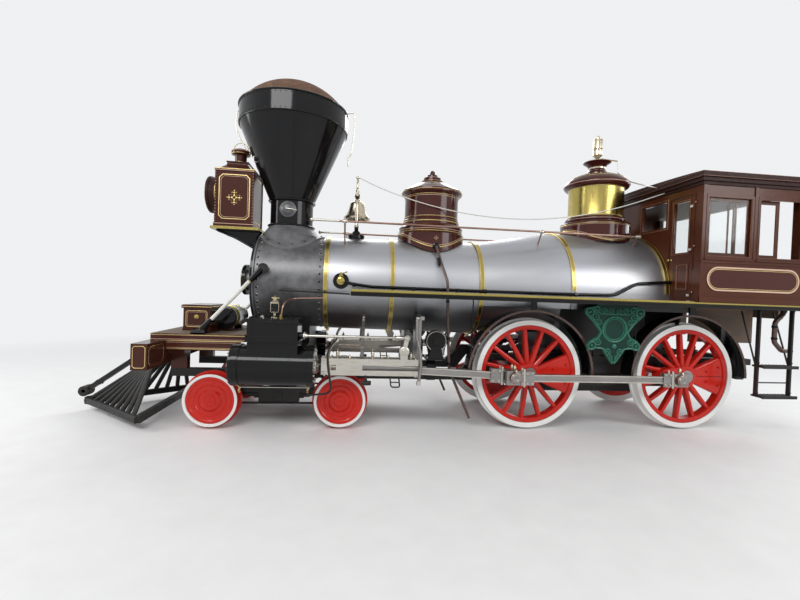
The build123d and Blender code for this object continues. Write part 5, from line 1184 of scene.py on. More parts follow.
def bell_dressing():
    shape = Shape()
    rim = Vector((BELL_X, 0, 2.835))
    shape.lathe(rim, Z, (
        (0.172, 0.001), (0.188, -0.003), (0.194, 0.006),
        (0.188, 0.024), (0.17, 0.05), (0.146, 0.084), (0.13, 0.12),
        (0.118, 0.165), (0.109, 0.2), (0.104, 0.23), (0.09, 0.248),
        (0.062, 0.26), (0.04, 0.264), (0.037, 0.285),
        (0.0005, 0.285), (0.0005, 0.22), (0.08, 0.218), (0.095, 0.16), (0.12, 0.08), (0.15, 0.03),
    ), "bell_metal", 64, True)
    for radius, height in ((0.19, 0.022), (0.142, 0.092), (0.112, 0.19)):
        shape.ring(rim + Z * height, Z, radius, 0.003, "bell_metal", 64, 6)
    shape.rod(rim + Z * 0.17, rim + Z * 0.02, 0.007, "iron", 10)
    clapper = ((0.006, -0.022), (0.022, -0.014), (0.029, 0), (0.022, 0.016), (0.008, 0.028))
    shape.lathe(rim - Z * 0.015, Z, clapper, "iron", 20)
    for side, out in SIDES:
        shape.lathe(
            (BELL_X, side * 0.262, BELL_PIVOT_Z), out,
            ((0.034, -0.008), (0.034, 0.008), (0.02, 0.012)), "black", 24,
        )
    shape.lathe((BELL_X, 0.33, 3.2), Z, (
        (0.014, 0), (0.02, 0.01), (0.014, 0.02), (0.014, 0.11), (0.02, 0.12), (0.014, 0.13),
    ), "bell_metal", 20)
    shape.make("bell_shell", "brass", "bell")

    stand = Shape()
    for side, _ in SIDES:
        post = (BELL_X, side * 0.228, 0)
        stand.lathe(post, Z, (
            (0.03, 2.688), (0.034, 2.7), (0.026, 2.712),
            (0.022, 2.75), (0.027, 2.85), (0.03, 2.9), (0.024, 2.97),
            (0.021, 3.04), (0.03, 3.06), (0.03, 3.072), (0.021, 3.084),
        ), "bell_metal", 28)
        stand.lathe(post, Z, (
            (0.02, 3.155), (0.032, 3.163), (0.02, 3.172), (0.026, 3.19), (0.022, 3.212), (0.008, 3.232),
        ), "bell_metal", 24)
        stand.ring((BELL_X, side * 0.206, BELL_PIVOT_Z), Y, 0.034, 0.005, "brass", 28, 8)
    stand.lathe((BELL_X, 0, 0), Z, (
        (0.125, 2.53), (0.13, 2.545), (0.11, 2.56), (0.07, 2.585), (0.055, 2.62), (0.06, 2.645),
    ), "black", 40)
    stand.make("bell_stand_turnings", "black_paint")


# Domes: caps, beads, painted lines, brass barrel and the lines that follow their skirts
def saddle_line(shape, x, radius, drum, raise_by, thick, ink):
    """A ring round a dome's skirt that follows the top of the jacket."""
    path = []
    steps = 96
    for i in range(steps):
        a = 2 * math.pi * i / steps
        px, py = x + radius * math.cos(a), radius * math.sin(a)
        path.append(Vector((px, py, BOILER_Z + math.sqrt(max(0.0, drum ** 2 - py ** 2)) + raise_by)))
    rings = []
    for i, point in enumerate(path):
        out = Vector((point.x - x, point.y, 0)).normalized()
        rings.append([
            point + out * thick * math.cos(b) + Z * thick * 1.6 * math.sin(b)
            for b in (2 * math.pi * j / 6 for j in range(6))
        ])
    shape.skin(rings, ink, closed=True)


def dome_dressing():
    sand = Shape()
    axis = (SAND_X, 0, 0)
    sand.lathe(axis, Z, (
        (0.43, 3.228), (0.446, 3.24), (0.449, 3.262), (0.444, 3.285),
        (0.41, 3.306), (0.33, 3.345), (0.245, 3.385),
        (0.24, 3.402), (0.2, 3.418), (0.162, 3.436), (0.159, 3.458), (0.15, 3.463), (0.13, 3.474),
        (0.128, 3.502), (0.118, 3.508), (0.078, 3.52), (0.076, 3.548), (0.06, 3.553), (0.03, 3.558),
    ), "maroon", 72)
    for radius, z, thick, ink in (
        (0.3975, 3.2, 0.006, "gold"), (0.3975, 3.178, 0.0035, "cream"), (0.398, 2.89, 0.005, "gold"),
        (0.414, 2.82, 0.008, "gold"), (0.45, 3.262, 0.004, "gold"),
        (0.243, 3.397, 0.004, "gold"), (0.16, 3.45, 0.003, "cream"),
        (0.466, 2.735, 0.008, "maroon"), (0.466, 2.7, 0.0035, "cream"), (0.466, 2.672, 0.005, "gold"),
    ):
        sand.ring((SAND_X, 0, z), Z, radius, thick, ink, 72, 8)
    sand.lathe((SAND_X, 0, 3.585), Z, (
        (0.02, -0.034), (0.034, -0.02), (0.039, 0), (0.034, 0.02), (0.02, 0.034), (0.004, 0.04),
    ), "maroon", 28)
    sand.ring((SAND_X, 0, 3.502), Z, 0.127, 0.003, "cream", 48, 8)
    saddle_line(sand, SAND_X, 0.4895, 0.68, 0.075, 0.0045, "gold")
    saddle_line(sand, SAND_X, 0.4892, 0.68, 0.1, 0.0025, "cream")
    for side, out in SIDES:
        cross_flower(sand, (SAND_X, side * 0.4885, 2.56), out, 0.035, "cream")
        sand.lathe((SAND_X, side * 0.486, 2.44), out, (
            (0.052, 0), (0.052, 0.012), (0.034, 0.018), (0.03, 0.04),
        ), "black", 28)
        sand.nuts(round_points((SAND_X, side * 0.498, 2.44), Y, 0.042, 4, 0.8), out, 0.007, "black")
    sand.make("sand_dome_dressing", "brown_paint")

    steam = Shape()
    axis = (STEAM_X, 0, 0)
    steam.lathe(axis, Z, (
        (0.396, 3.038), (0.398, 3.05), (0.3965, 3.06), (0.3965, 3.47), (0.398, 3.48), (0.396, 3.494),
    ), "brass", 96)
    steam.lathe(axis, Z, (
        (0.42, 3.488), (0.448, 3.497), (0.466, 3.515), (0.473, 3.54),
        (0.469, 3.565), (0.455, 3.588), (0.43, 3.612), (0.392, 3.645),
        (0.385, 3.652), (0.31, 3.688), (0.24, 3.708), (0.17, 3.719), (0.155, 3.725),
    ), "maroon", 96)
    steam.lathe(axis, Z, (
        (0.4, 2.965), (0.424, 2.968), (0.434, 2.982),
        (0.436, 3.0), (0.43, 3.018), (0.412, 3.03), (0.396, 3.033),
    ), "maroon", 96)
    steam.lathe(axis, Z, (
        (0.43, 2.962), (0.478, 2.954), (0.495, 2.944), (0.504, 2.925), (0.5015, 2.9),
    ), "maroon", 96)
    for radius, z, thick, ink in (
        (0.397, 3.05, 0.009, "gold"), (0.397, 3.482, 0.009, "gold"),
        (0.473, 3.54, 0.004, "cream"), (0.4, 3.64, 0.004, "gold"),
        (0.436, 2.998, 0.003, "cream"), (0.501, 2.912, 0.005, "gold"), (0.501, 2.895, 0.0025, "cream"),
    ):
        steam.ring((STEAM_X, 0, z), Z, radius, thick, ink, 96, 8)
    saddle_line(steam, STEAM_X, 0.5012, 0.868, 0.06, 0.005, "gold")
    saddle_line(steam, STEAM_X, 0.501, 0.868, 0.082, 0.0025, "cream")
    steam.make("steam_dome_dressing", "brass")

    top = Shape()
    top.lathe(axis, Z, (
        (0.16, 3.72), (0.158, 3.745), (0.13, 3.78), (0.12, 3.82),
        (0.14, 3.868), (0.185, 3.9), (0.2, 3.914), (0.197, 3.922),
        (0.17, 3.915), (0.08, 3.9), (0.06, 3.92), (0.03, 3.945), (0.028, 3.985),
    ), "maroon", 64)
    top.ring((STEAM_X, 0, 3.916), Z, 0.2, 0.003, "cream", 64, 6)
    top.lathe(axis, Z, (
        (0.028, 3.985), (0.05, 4.01), (0.069, 4.035), (0.069, 4.112), (0.06, 4.12),
    ), "bell_metal", 40)
    top.lathe(axis, Z, (
        (0.052, 4.13), (0.069, 4.134), (0.069, 4.27),
        (0.062, 4.29), (0.04, 4.3), (0.022, 4.306), (0.024, 4.318),
        (0.018, 4.334), (0.006, 4.344),
    ), "bell_metal", 40)
    for z in (4.03, 4.105, 4.145, 4.265):
        top.ring((STEAM_X, 0, z), Z, 0.0695, 0.003, "bell_metal", 40, 6)
    top.tube([
        (STEAM_X - 0.19, 0.24, 3.72), (-1.652, 0.3, 3.581),
        (-1.739, 0.6, 3.436), (CAB_FRONT_X + 0.062, 0.62, 3.41),
    ], 0.009, "white_steel", 0.08)
    lever_end = (STEAM_X - 0.21, 0.2, 3.9)
    top.rod((STEAM_X - 0.03, 0.05, 3.97), lever_end, 0.009, "brass", 10)
    top.rod(lever_end, (STEAM_X - 0.2, 0.235, 3.7), 0.006, "white_steel", 8)
    top.make("whistle_turnings", "brass")


# Boiler: beads along the bands, the bands' clamps and the check valves with their nuts
BANDS = (
    # x of the rear edge, radius, whether it stops at the firebox's flat sides
    (2.722, 0.6693, False), (1.842, 0.6815, False), (0.62, 0.6965, False),
    (-0.588, 0.882, True), (CAB_FRONT_X + 0.006, 0.882, True),
)


def boiler_dressing():
    shape = Shape()
    for x, radius, half in BANDS:
        for at in (x + 0.004, x + 0.054):
            turn = [math.pi * i / 64 for i in range(65)] if half else [
                2 * math.pi * i / 96 for i in range(96)
            ]
            rings = []
            for a in turn:
                out = Vector((0, math.cos(a), math.sin(a)))
                base = Vector((at, 0, BOILER_Z)) + out * radius
                rings.append([
                    base - X * 0.005 - out * 0.004, base + X * 0.005 - out * 0.004,
                    base + X * 0.003 + out * 0.003, base - X * 0.003 + out * 0.003,
                ])
            shape.skin(rings, "gold", closed=not half)
        for side, _ in SIDES:
            if not half:
                clamp = Vector((x + 0.029, 0, BOILER_Z - radius))
                shape.box(
                    (x + 0.01, x + 0.048), (side * 0.01, side * 0.03),
                    (clamp.z - 0.03, clamp.z + 0.004), "brass",
                )
    for side, out in SIDES:
        shape.nuts(round_points((2.55, side * 0.684, 1.909), Y, 0.082, 8, 0.4), out, 0.012, "black")
        shape.lathe((2.55, side * 0.776, 1.909), out, (
            (0.05, 0), (0.05, 0.012), (0.03, 0.018), (0.026, 0.034),
        ), "brass", 28)
        shape.lathe((2.55, side * 0.73, 1.95), Z, (
            (0.03, 0), (0.03, 0.03), (0.02, 0.036), (0.02, 0.06), (0.008, 0.07),
        ), "brass", 20)
        shape.rod((2.55, side * 0.73, 2.0), (2.47, side * 0.74, 2.03), 0.008, "brass", 10)
        for x, y, z in ((2.38, 0.726, 1.87), (0.62, 0.732, 1.841), (-0.56, 0.914, 1.843)):
            shape.lathe((x - 0.02, side * y, z), X, ((0.03, 0), (0.03, 0.04)), "black", 6)
        for x in (1.6, 1.0):
            shape.box((x - 0.015, x + 0.015), (side * 0.66, side * 0.752), (1.812, 1.866), "black")
    shape.make("boiler_fittings", "brass")


# Running boards: planks and a brass edge; guards with a brown strap along their edge
def board_dressing():
    shape = Shape()
    start, end = -1.94, 2.405
    for side, out in SIDES:
        for i in range(4):
            y0 = 0.895 + i * 0.112
            shape.box((start, end), (side * y0, side * (y0 + 0.106)), (1.8015, 1.808), "deck")
        nosing = [
            (1.776, 1.345), (1.777, 1.353), (1.785, 1.36),
            (1.797, 1.36), (1.807, 1.352), (1.809, 1.335), (1.8, 1.335),
        ]
        shape.skin([[(x, side * y, z) for z, y in nosing] for x in (BOARD_END, end + 0.006)], "brass")
        shape.skin(
            [[(x, side * (y - 0.012), z - 0.045) for z, y in nosing[1:5]] for x in (BOARD_END, end)], "black",
        )
        shape.box((end - 0.002, end + 0.006), (side * 0.73, side * 1.35), (1.778, 1.808), "brass")
        for axle_x in (0.0, REAR_X):
            rings = []
            for i in range(49):
                a = math.pi * i / 48
                ray = Vector((math.cos(a), 0, math.sin(a)))
                base = Vector((axle_x, 0, DRIVER_Z))
                rings.append([
                    base + ray * 0.838 + out * 0.899, base + ray * 0.868 + out * 0.899,
                    base + ray * 0.868 + out * 0.906, base + ray * 0.838 + out * 0.906,
                ])
            shape.skin(rings, "pipe_brown")
    shape.make("board_fittings", "black_paint", bevel=0.0012)


# Cab: window frames, panel mouldings with painted highlights on their edges, the bare plate with round ends,
# cornice lines with a painted highlight and door trim
CAB_WINDOWS = ((-2.63, -2.025), (-3.355, -2.745))
CAB_GAP = (CAB_WINDOWS[1][1], CAB_WINDOWS[0][0])
WINDOW_Z = (2.385, 3.138)
FRONT_PANE_Z = (2.813, 3.192)
HINGES_Z = (1.905, 2.5, 3.06)
PLATE = ((-3.36, -2.04), (1.945, 2.262))
CORNICE_X = (-3.87, CAB_FRONT_X + 0.062)
CORNICE_Y = CAB_Y + 0.062
# Heights of a light line at the cornice's foot and of a painted highlight along its top edge
CORNICE_HIGHLIGHT_LINES = (3.378, 3.436)


def stadium(x, z, margin=0.0, steps=12):
    """An outline with half-round ends, grown by a margin."""
    r, middle = (z[1] - z[0]) / 2 + margin, (z[0] + z[1]) / 2
    ends = (x[1] + margin - r, -0.5), (x[0] - margin + r, 0.5)
    turns = [(centre, math.pi * (i / steps + start)) for centre, start in ends for i in range(steps + 1)]
    return [(centre + r * math.cos(a), middle + r * math.sin(a)) for centre, a in turns]


def cab_side(shape, side, out):
    """Frames, sashes, posts and sills, the bare plate and the front window on one side."""
    face = side * CAB_Y
    for low, high in CAB_WINDOWS:
        shape.side_panel(face, (low, high), WINDOW_Z, 0.034, "wood", 0.012, lift=0.012)
        # A light line inside each frame: a painted highlight along the moulding's edge
        shape.side_panel(face + side * 0.001, (low, high), WINDOW_Z, 0.008, "moulding", -0.004, lift=0.006)
        sill = (WINDOW_Z[0] - 0.048, WINDOW_Z[0] - 0.028)
        shape.box((low - 0.04, high + 0.04), (face, face + side * 0.03), sill, "wood")
    (low, high), (rear, front) = CAB_WINDOWS
    middle = (low + high) / 2
    shape.side_panel(side * 1.323, (low, high), WINDOW_Z, 0.05, "wood", -0.026, lift=0.006)
    shape.box((middle - 0.012, middle + 0.012), (side * 1.32, side * 1.328), WINDOW_Z, "wood")
    # The rear sash is slid forward behind the front one
    shape.side_panel(side * 1.29, (rear + 0.274, front + 0.326), WINDOW_Z, 0.05, "wood", -0.026, lift=0.012)
    for x, foot in ((CAB_REAR_X + 0.022, FLOOR_Z), (CAB_FRONT_X - 0.022, FLOOR_Z), (sum(CAB_GAP) / 2, 2.335)):
        shape.box((x - 0.022, x + 0.022), (face, face + side * 0.012), (foot, 3.285), "wood")
    for z, thick in (((FLOOR_Z, FLOOR_Z + 0.07), 0.02), ((2.3, 2.335), 0.015)):
        shape.box((CAB_REAR_X, CAB_FRONT_X), (face, face + side * thick), z, "wood")
    shape.prism(on_side(stadium(*PLATE), face), out * 0.006, "maroon")
    shape.line(on_side(stadium(*PLATE, -0.015), face + side * 0.006), out, 0.02, "cream", lift=0.004)
    shape.line(on_side(stadium(*PLATE, -0.038), face + side * 0.006), out, 0.006, "gold")
    # Along the cornice: a light line at its foot and a painted highlight at its top edge
    for z in CORNICE_HIGHLIGHT_LINES:
        shape.box(
            CORNICE_X, (side * CORNICE_Y, side * (CORNICE_Y + 0.003)), (z - 0.002, z + 0.002), "moulding",
        )
    pane_y = (side * 0.255, side * 0.772)
    shape.front_panel(CAB_FRONT_X, pane_y, FRONT_PANE_Z, 0.03, "wood", lift=0.012)
    # A light line round the front pane: a painted highlight
    shape.front_panel(CAB_FRONT_X, pane_y, FRONT_PANE_Z, 0.005, "moulding", 0.015, lift=0.013)
    doorway = (side * 0.82, side * 1.235), (2.22, FRONT_PANE_Z[1])
    shape.front_panel(CAB_FRONT_X - 0.001, *doorway, 0.012, "wood", lift=0.012)
    shape.nuts([(CAB_FRONT_X + 0.01, side * 1.258, z + 0.02) for z in HINGES_Z], X, 0.007, "white_steel")


def door_trim(word, side):
    """Mouldings with painted highlights on their edges, glass, hinges and knob of one cab door."""
    leaf = Shape()
    x = CAB_FRONT_X
    pane = (side * 0.89, side * 1.165), (2.437, 3.128)
    panel = (side * 0.97, side * 1.17), (1.95, 2.3)
    leaf.front_panel(x, *pane, 0.022, "wood", lift=0.01)
    # Light lines round the pane and the panel: painted highlights
    leaf.front_panel(x + 0.01, *pane, 0.005, "moulding", 0.008)
    leaf.box((x - 0.024, x - 0.016), (side * 0.896, side * 1.159), (2.443, 3.122), "glass")
    leaf.front_panel(x, *panel, 0.022, "wood", lift=0.009)
    leaf.front_panel(x, *panel, 0.005, "moulding", -0.015, lift=0.01)
    for z in HINGES_Z:
        leaf.box((x + 0.01, x + 0.013), (side * 1.168, side * 1.212), (z - 0.036, z - 0.006), "white_steel")
        leaf.nuts([(x + 0.013, side * 1.185, z - 0.021)], X, 0.006, "white_steel")
    knob = ((0.016, 0), (0.008, 0.01), (0.008, 0.028), (0.018, 0.034), (0.018, 0.046), (0.008, 0.052))
    leaf.lathe((x, side * 0.87, 2.36), X, knob, "brass", 20)
    leaf.make("cab_door_trim_" + word, "brown_wood", "cab_door_" + word, bevel=0.001)


def cab_dressing():
    """Trim of both sides and doors, the cornice's line and painted highlight, the roof's seams and the panels
    below the floor, lined with painted highlights.
    """
    shape = Shape()
    for side, out in SIDES:
        cab_side(shape, side, out)
    # The cornice's light line and painted highlight across the front and the rear
    for x, thick in zip(CORNICE_X[::-1], (0.003, -0.003)):
        for z in CORNICE_HIGHLIGHT_LINES:
            shape.box((x, x + thick), (-CORNICE_Y, CORNICE_Y), (z - 0.002, z + 0.002), "moulding")
    for i in range(9):
        x = -3.8 + i * 0.235
        rings = []
        for j in range(21):
            y = -1.38 + 2.76 * j / 20
            z = 3.49 - 0.05 * (y / 1.412) ** 2
            seam = ((-0.014, -0.002), (0.014, -0.002), (0.011, 0.007), (-0.011, 0.007))
            rings.append([(x + dx, y, z + dz) for dx, dz in seam])
        shape.skin(rings, "roof_brown")
    for side, _ in SIDES:
        # Light lines round the panels below the floor: painted highlights
        shape.side_panel(side * 0.6205, (-3.46, -2.52), (1.27, 1.7), 0.008, "moulding", cut=0.04)
        shape.side_panel(side * 0.6205, (-3.46, -2.52), (1.27, 1.7), 0.004, "moulding", -0.03, 0.03)
    shape.make("cab_trim", "brown_wood", bevel=0.0015)
    door_trim("left", 1)
    door_trim("right", -1)


def cab_interior():
    """Studs, fire door, gauges, water glass, cocks, throttle and reverse lever; the floor's boards."""
    inside = Shape()
    back = -2.2
    inside.lathe((back, 0, BOILER_Z), -X, (
        (0.86, -0.02), (0.86, 0.006), (0.83, 0.012), (0.2, 0.013),
    ), "satin_black", 72)
    inside.studs(round_points((back - 0.01, 0, BOILER_Z), X, 0.8, 44), -X, 0.011, 0.008, "satin_black", 6)
    inside.box((back - 0.055, back - 0.04), (-0.19, 0.19), (1.875, 2.145), "iron")
    inside.nuts([(back - 0.055, y, z) for y in (-0.16, 0.16) for z in (1.9, 2.12)], -X, 0.011, "iron")
    inside.rod((back - 0.08, 0.13, 2.0), (back - 0.08, 0.02, 2.03), 0.009, "steel", 10)
    for y, z, r in ((0, 2.52, 0.122), (0.33, 2.62, 0.07), (-0.33, 2.6, 0.07)):
        depth = 0.071 if y == 0 else 0.03
        centre = (back - depth, y, z)
        inside.lathe(centre, -X, (
            (r, -0.03), (r + 0.006, -0.004), (r + 0.004, 0.012), (r - 0.012, 0.014), (r - 0.014, 0.006),
        ), "brass", 48)
        inside.lathe(centre, -X, ((r - 0.014, 0.0), (r - 0.014, 0.007), (0.01, 0.0075)), "white", 40)
        hand_x = (centre[0] - 0.0095, centre[0] - 0.0075)
        inside.box(hand_x, (y - 0.003, y + 0.003), (z - 0.01, z + r * 0.6), "black")
    inside.rod((back - 0.06, -0.4, 2.2), (back - 0.06, -0.4, 2.5), 0.012, "glass", 16)
    for z in (2.19, 2.51):
        inside.lathe((back, -0.4, z), -X, (
            (0.02, 0), (0.02, 0.05), (0.028, 0.055), (0.028, 0.075),
        ), "brass", 16)
    for i in range(3):
        spot = Vector((back, -0.28 + i * 0.05, 2.25 + i * 0.06))
        inside.rod(spot, spot - X * 0.09, 0.011, "brass", 12)
        inside.rod(spot - X * 0.085 - Y * 0.03, spot - X * 0.085 + Y * 0.03, 0.006, "brass", 8)
    inside.rod((back - 0.1, -0.06, 2.36), (back - 0.1, 0.5, 2.36), 0.014, "steel", 12)
    inside.lathe((back - 0.1, 0.5, 2.36), Y, (
        (0.014, 0), (0.024, 0.02), (0.018, 0.06), (0.004, 0.07),
    ), "wood", 16)
    inside.rod((back - 0.3, -0.72, 1.84), (back - 0.42, -0.72, 2.7), 0.014, "steel", 12)
    inside.box((back - 0.5, back - 0.1), (-0.745, -0.735), (2.2, 2.24), "steel")
    for i in range(14):
        x = BOARD_END + 0.02 + i * 0.11
        if x + 0.1 < back - 0.02:
            inside.box((x, x + 0.104), (-0.87, 0.87), (FLOOR_Z - 0.001, FLOOR_Z + 0.004), "deck")
    inside.make("cab_interior_fittings", "brass", bevel=0.0012)


# Front end: deck planks and side stripes, the box's panels, the pilot beam's lines
DECK_Z = (1.167, 1.1725)
BEAM_X = (4.7, 4.88)
BEAM_PANEL_Z = (0.83, 1.05)
DECK_STRIPES = (
    # x of both ends; z of both edges and ink of each stripe
    ((3.74, 4.878), (
        (1.15, 1.158, "gold"), (1.118, 1.142, "maroon"), (1.098, 1.104, "cream"), (1.078, 1.088, "gold"),
    )),
    ((3.82, 4.69), ((0.978, 0.986, "gold"), (0.994, 0.998, "cream"), (1.06, 1.064, "cream"))),
)


def deck_dressing():
    shape = Shape()
    planks = [(3.742 + i * 0.1065, 3.8435 + i * 0.1065) for i in range(9)] + [(4.702, 4.78), (4.786, 4.876)]
    for plank in planks:
        shape.box(plank, (-0.69, 0.69), DECK_Z, "deck")
    for side, out in SIDES:
        for run, stripes in DECK_STRIPES:
            for low, high, ink in stripes:
                shape.box(run, (side * 0.7, side * 0.702), (low, high), ink)
        shape.side_panel(side * 1.15, (4.722, 4.858), (0.815, 1.065), 0.008, "gold", cut=0.02)
    for side, _ in SIDES:
        panel_y = (side * 0.16, side * 1.11)
        shape.front_panel(BEAM_X[1], panel_y, BEAM_PANEL_Z, 0.009, "gold", cut=0.04)
        shape.front_panel(BEAM_X[1], panel_y, BEAM_PANEL_Z, 0.004, "cream", -0.02, 0.034)
        shape.front_panel(
            BEAM_X[0], (side * 0.75, side * 1.11), BEAM_PANEL_Z, 0.007, "gold", cut=0.04, out=-X,
        )
        shape.nuts(
            [(BEAM_X[1], side * y, z) for y in (0.22, 0.48, 1.04) for z in (0.875, 1.005)], X, 0.018, "iron",
        )
        shape.box((BEAM_X[1], BEAM_X[1] + 0.008), (side * 0.06, side * 0.14), (0.99, 1.085), "iron")
    shape.box(BEAM_X, (-1.152, 1.152), (1.088, 1.094), "brown")
    for z in (1.182, 1.268):
        for x, sense in ((4.205, -1), (4.275, 1)):
            shape.box((x, x + sense * 0.002), (-0.6, 0.6), (z, z + 0.005), "gold")
    shape.box((4.2, 4.28), (-0.612, 0.612), (1.283, 1.289), "brown")
    box_x = (4.31, 4.65)
    for side, out in SIDES:
        y = side * 0.31
        panel = (box_x[0] + 0.035, box_x[1] - 0.035), (1.225, 1.44)
        shape.side_panel(y, *panel, 0.008, "gold", cut=0.02)
        shape.side_panel(y, *panel, 0.004, "cream", -0.017, 0.016)
        shape.lathe((sum(box_x) / 2, y, 1.36), out, (
            (0.03, 0), (0.03, 0.004), (0.012, 0.007), (0.012, 0.02),
        ), "brass", 20)
        shape.box((box_x[0] - 0.006, box_x[1] + 0.006), (y, y + side * 0.01), (1.168, 1.2), "brown")
    for x, out in zip(box_x, (-X, X)):
        shape.front_panel(x, (-0.27, 0.27), (1.225, 1.44), 0.008, "gold", cut=0.03, out=out)
    shape.box((box_x[0] - 0.026, box_x[1] + 0.026), (-0.336, 0.336), (1.492, 1.5), "gold")
    shape.box((box_x[0] - 0.01, box_x[1] + 0.01), (-0.32, 0.32), (1.515, 1.522), "brown")
    drum_x, drum_z = 4.11, 1.36
    shape.lathe((drum_x, 0, drum_z), Y, (
        (0.06, -0.312), (0.14, -0.308), (0.155, -0.298), (0.156, -0.28),
        (0.1535, -0.275), (0.1535, 0.275), (0.156, 0.28),
        (0.155, 0.298), (0.14, 0.308), (0.06, 0.312),
    ), "black", 56)
    for y in (-0.15, 0.15):
        shape.ring((drum_x, y, drum_z), Y, 0.154, 0.006, "brass", 56, 8)
    shape.make("deck_trim", "brown_paint", bevel=0.0012)


def pilot_dressing():
    """Round slats in place of the plain bars, on a rounded low frame with iron straps."""
    shape = Shape()
    tip_x, back_x, low_z, half = 6.02, 4.925, 0.135, 0.88
    shape.box((4.88, 4.94), (-0.45, 0.45), (0.8, 0.96), "iron")
    for side, _ in SIDES:
        corner, tip = Vector((back_x, side * half, low_z)), Vector((tip_x, 0, low_z))
        along = (tip - corner).normalized()
        wide = along.cross(Z)
        section = [wide * a + Z * b for a, b in (
            (0.034, -0.03), (0.034, 0.02), (0.022, 0.042), (-0.022, 0.042), (-0.034, 0.02), (-0.034, -0.03),
            (-0.02, -0.044), (0.02, -0.044),
        )]
        shape.skin([[end + s for s in section] for end in (corner, tip)], "iron")
        for number in range(9):
            share = (number + 0.35) / 9
            foot = Vector((tip_x + (back_x - tip_x) * share, side * half * share, low_z + 0.01))
            head = Vector((back_x, side * 0.42 * share, 0.88))
            bar = (head - foot).normalized()
            flat = Y.cross(bar).normalized()
            rings = []
            for t, a, b in (
                (0, 0.02, 0.026), (0.08, 0.023, 0.031),
                (0.5, 0.024, 0.032), (0.92, 0.022, 0.028), (1, 0.019, 0.024),
            ):
                spot = foot + (head - foot) * t
                turns = [2 * math.pi * k / 16 for k in range(16)]
                rings.append([spot + Y * a * math.cos(c) + flat * b * math.sin(c) for c in turns])
            shape.skin(rings, "iron")
            shape.nuts([foot + (head - foot) * 0.035 + Z * 0.026], Z, 0.011, "iron")
            shape.nuts([(4.94, side * 0.42 * share, 0.925)], X, 0.011, "iron")
    shape.box((back_x - 0.035, back_x + 0.035), (-half, half), (low_z - 0.044, low_z + 0.044), "iron")
    shape.lathe((tip_x - 0.03, 0, low_z), Z, (
        (0.03, -0.055), (0.055, -0.045), (0.062, 0), (0.055, 0.045), (0.03, 0.055),
    ), "iron", 32)
    shape.make("pilot_slats", "dark_iron", stands_for=("pilot",), bevel=0.002)

    bar = Shape()
    hinge, nose = Vector((4.965, 0, 1.04)), Vector((6.03, 0, 0.272))
    along = (nose - hinge).normalized()
    lift = Y.cross(along).normalized()
    corners = ((-0.048, -0.033), (0.048, -0.033), (0.048, 0.033), (-0.048, 0.033))
    for reach in (0.14, 0.55, 1.1):
        spot = hinge + along * reach
        ring = []
        for move in (-0.02, 0.02):
            ring.append([spot + along * move + Y * a + lift * b for a, b in corners])
        bar.skin(ring, "iron")
        bar.nuts([spot + Y * d + lift * 0.033 for d in (-0.025, 0.025)], lift, 0.01, "iron")
    for side, out in SIDES:
        bar.lathe(nose + Y * side * 0.07, out, (
            (0.06, -0.01), (0.055, 0.004), (0.03, 0.006), (0.024, 0.0), (0.001, 0.0),
        ), "iron", 32)
    bar.make("push_bar_straps", "dark_iron", "push_bar", bevel=0.0015)


# Green bracket between the driving wheels: a raised border, scrolls in its arms and a bare disc
BRACKET_X = -1.068
BRACKET_EDGE = (
    # half width and z, down one side
    (0.25, 1.7), (0.41, 1.664), (0.372, 1.59), (0.288, 1.515), (0.232, 1.44), (0.179, 1.357), (0.214, 1.292),
    (0.318, 1.228), (0.366, 1.168), (0.34, 1.134), (0.205, 1.156),
    (0.145, 1.14), (0.066, 1.086), (0.02, 1.0), (0.008, 0.947),
)


BRACKET_SCROLLS = (
    (
        (0.4, 1.675), (0.385, 1.58), (0.3, 1.5), (0.24, 1.43),
        (0.19, 1.36), (0.225, 1.29), (0.32, 1.245), (0.375, 1.17),
    ),
    ((0.36, 1.13), (0.26, 1.15), (0.15, 1.14), (0.09, 1.05), (0.04, 0.98), (0.01, 0.945)),
    ((0.0, 1.6), (0.1, 1.6), (0.2, 1.6), (0.3, 1.68)),
)
BRACKET_LOOPS = (
    # half width, z, radius
    (0.355, 1.625, 0.052), (0.27, 1.56, 0.04), (0.215, 1.49, 0.03), (0.31, 1.18, 0.05), (0.225, 1.225, 0.035),
    (0.255, 1.655, 0.036), (0.15, 1.645, 0.032),
    (0.055, 1.64, 0.03), (0.085, 1.1, 0.036), (0.04, 1.03, 0.022),
)


def bracket_face(shape, y, out):
    """Loops, scrolls, edge and bare disc on one face of a bracket."""

    def spot(dx, z):
        return Vector((BRACKET_X + dx, y, z))

    for sense in (-1, 1):
        for dx, z, r in BRACKET_LOOPS:
            shape.ring(spot(sense * dx, z), Y, r, r * 0.26, "green", 24, 8)
            shape.lathe(spot(sense * dx, z), out, (
                (r * 0.45, -0.004), (r * 0.4, 0.01), (r * 0.15, 0.018),
            ), "green", 12)
        for line, thick in [(scroll, 0.011) for scroll in BRACKET_SCROLLS] + [(BRACKET_EDGE, 0.01)]:
            shape.sweep([spot(sense * dx, z) for dx, z in line], thick, "green", 8)
    for radius, thick in ((0.165, 0.016), (0.135, 0.007)):
        shape.ring(spot(0, 1.4), Y, radius, thick, "green", 56, 8)
    shape.studs(round_points(spot(0, 1.4), Y, 0.15, 28), out, 0.008, 0.014, "green", 8)
    shape.lathe(spot(0, 1.175), out, ((0.036, -0.004), (0.03, 0.014), (0.012, 0.022)), "green", 14)


def bracket_dressing():
    shape = Shape()
    for side, out in SIDES:
        bracket_face(shape, side * 1.012, out)
        bracket_face(shape, side * 0.988, -out)
        shape.nuts([(BRACKET_X + x, side * 1.012, 1.74) for x in (-0.2, 0, 0.2)], out, 0.012, "green")
    shape.make("bracket_scrolls", "green_paint", bevel=0.0012)


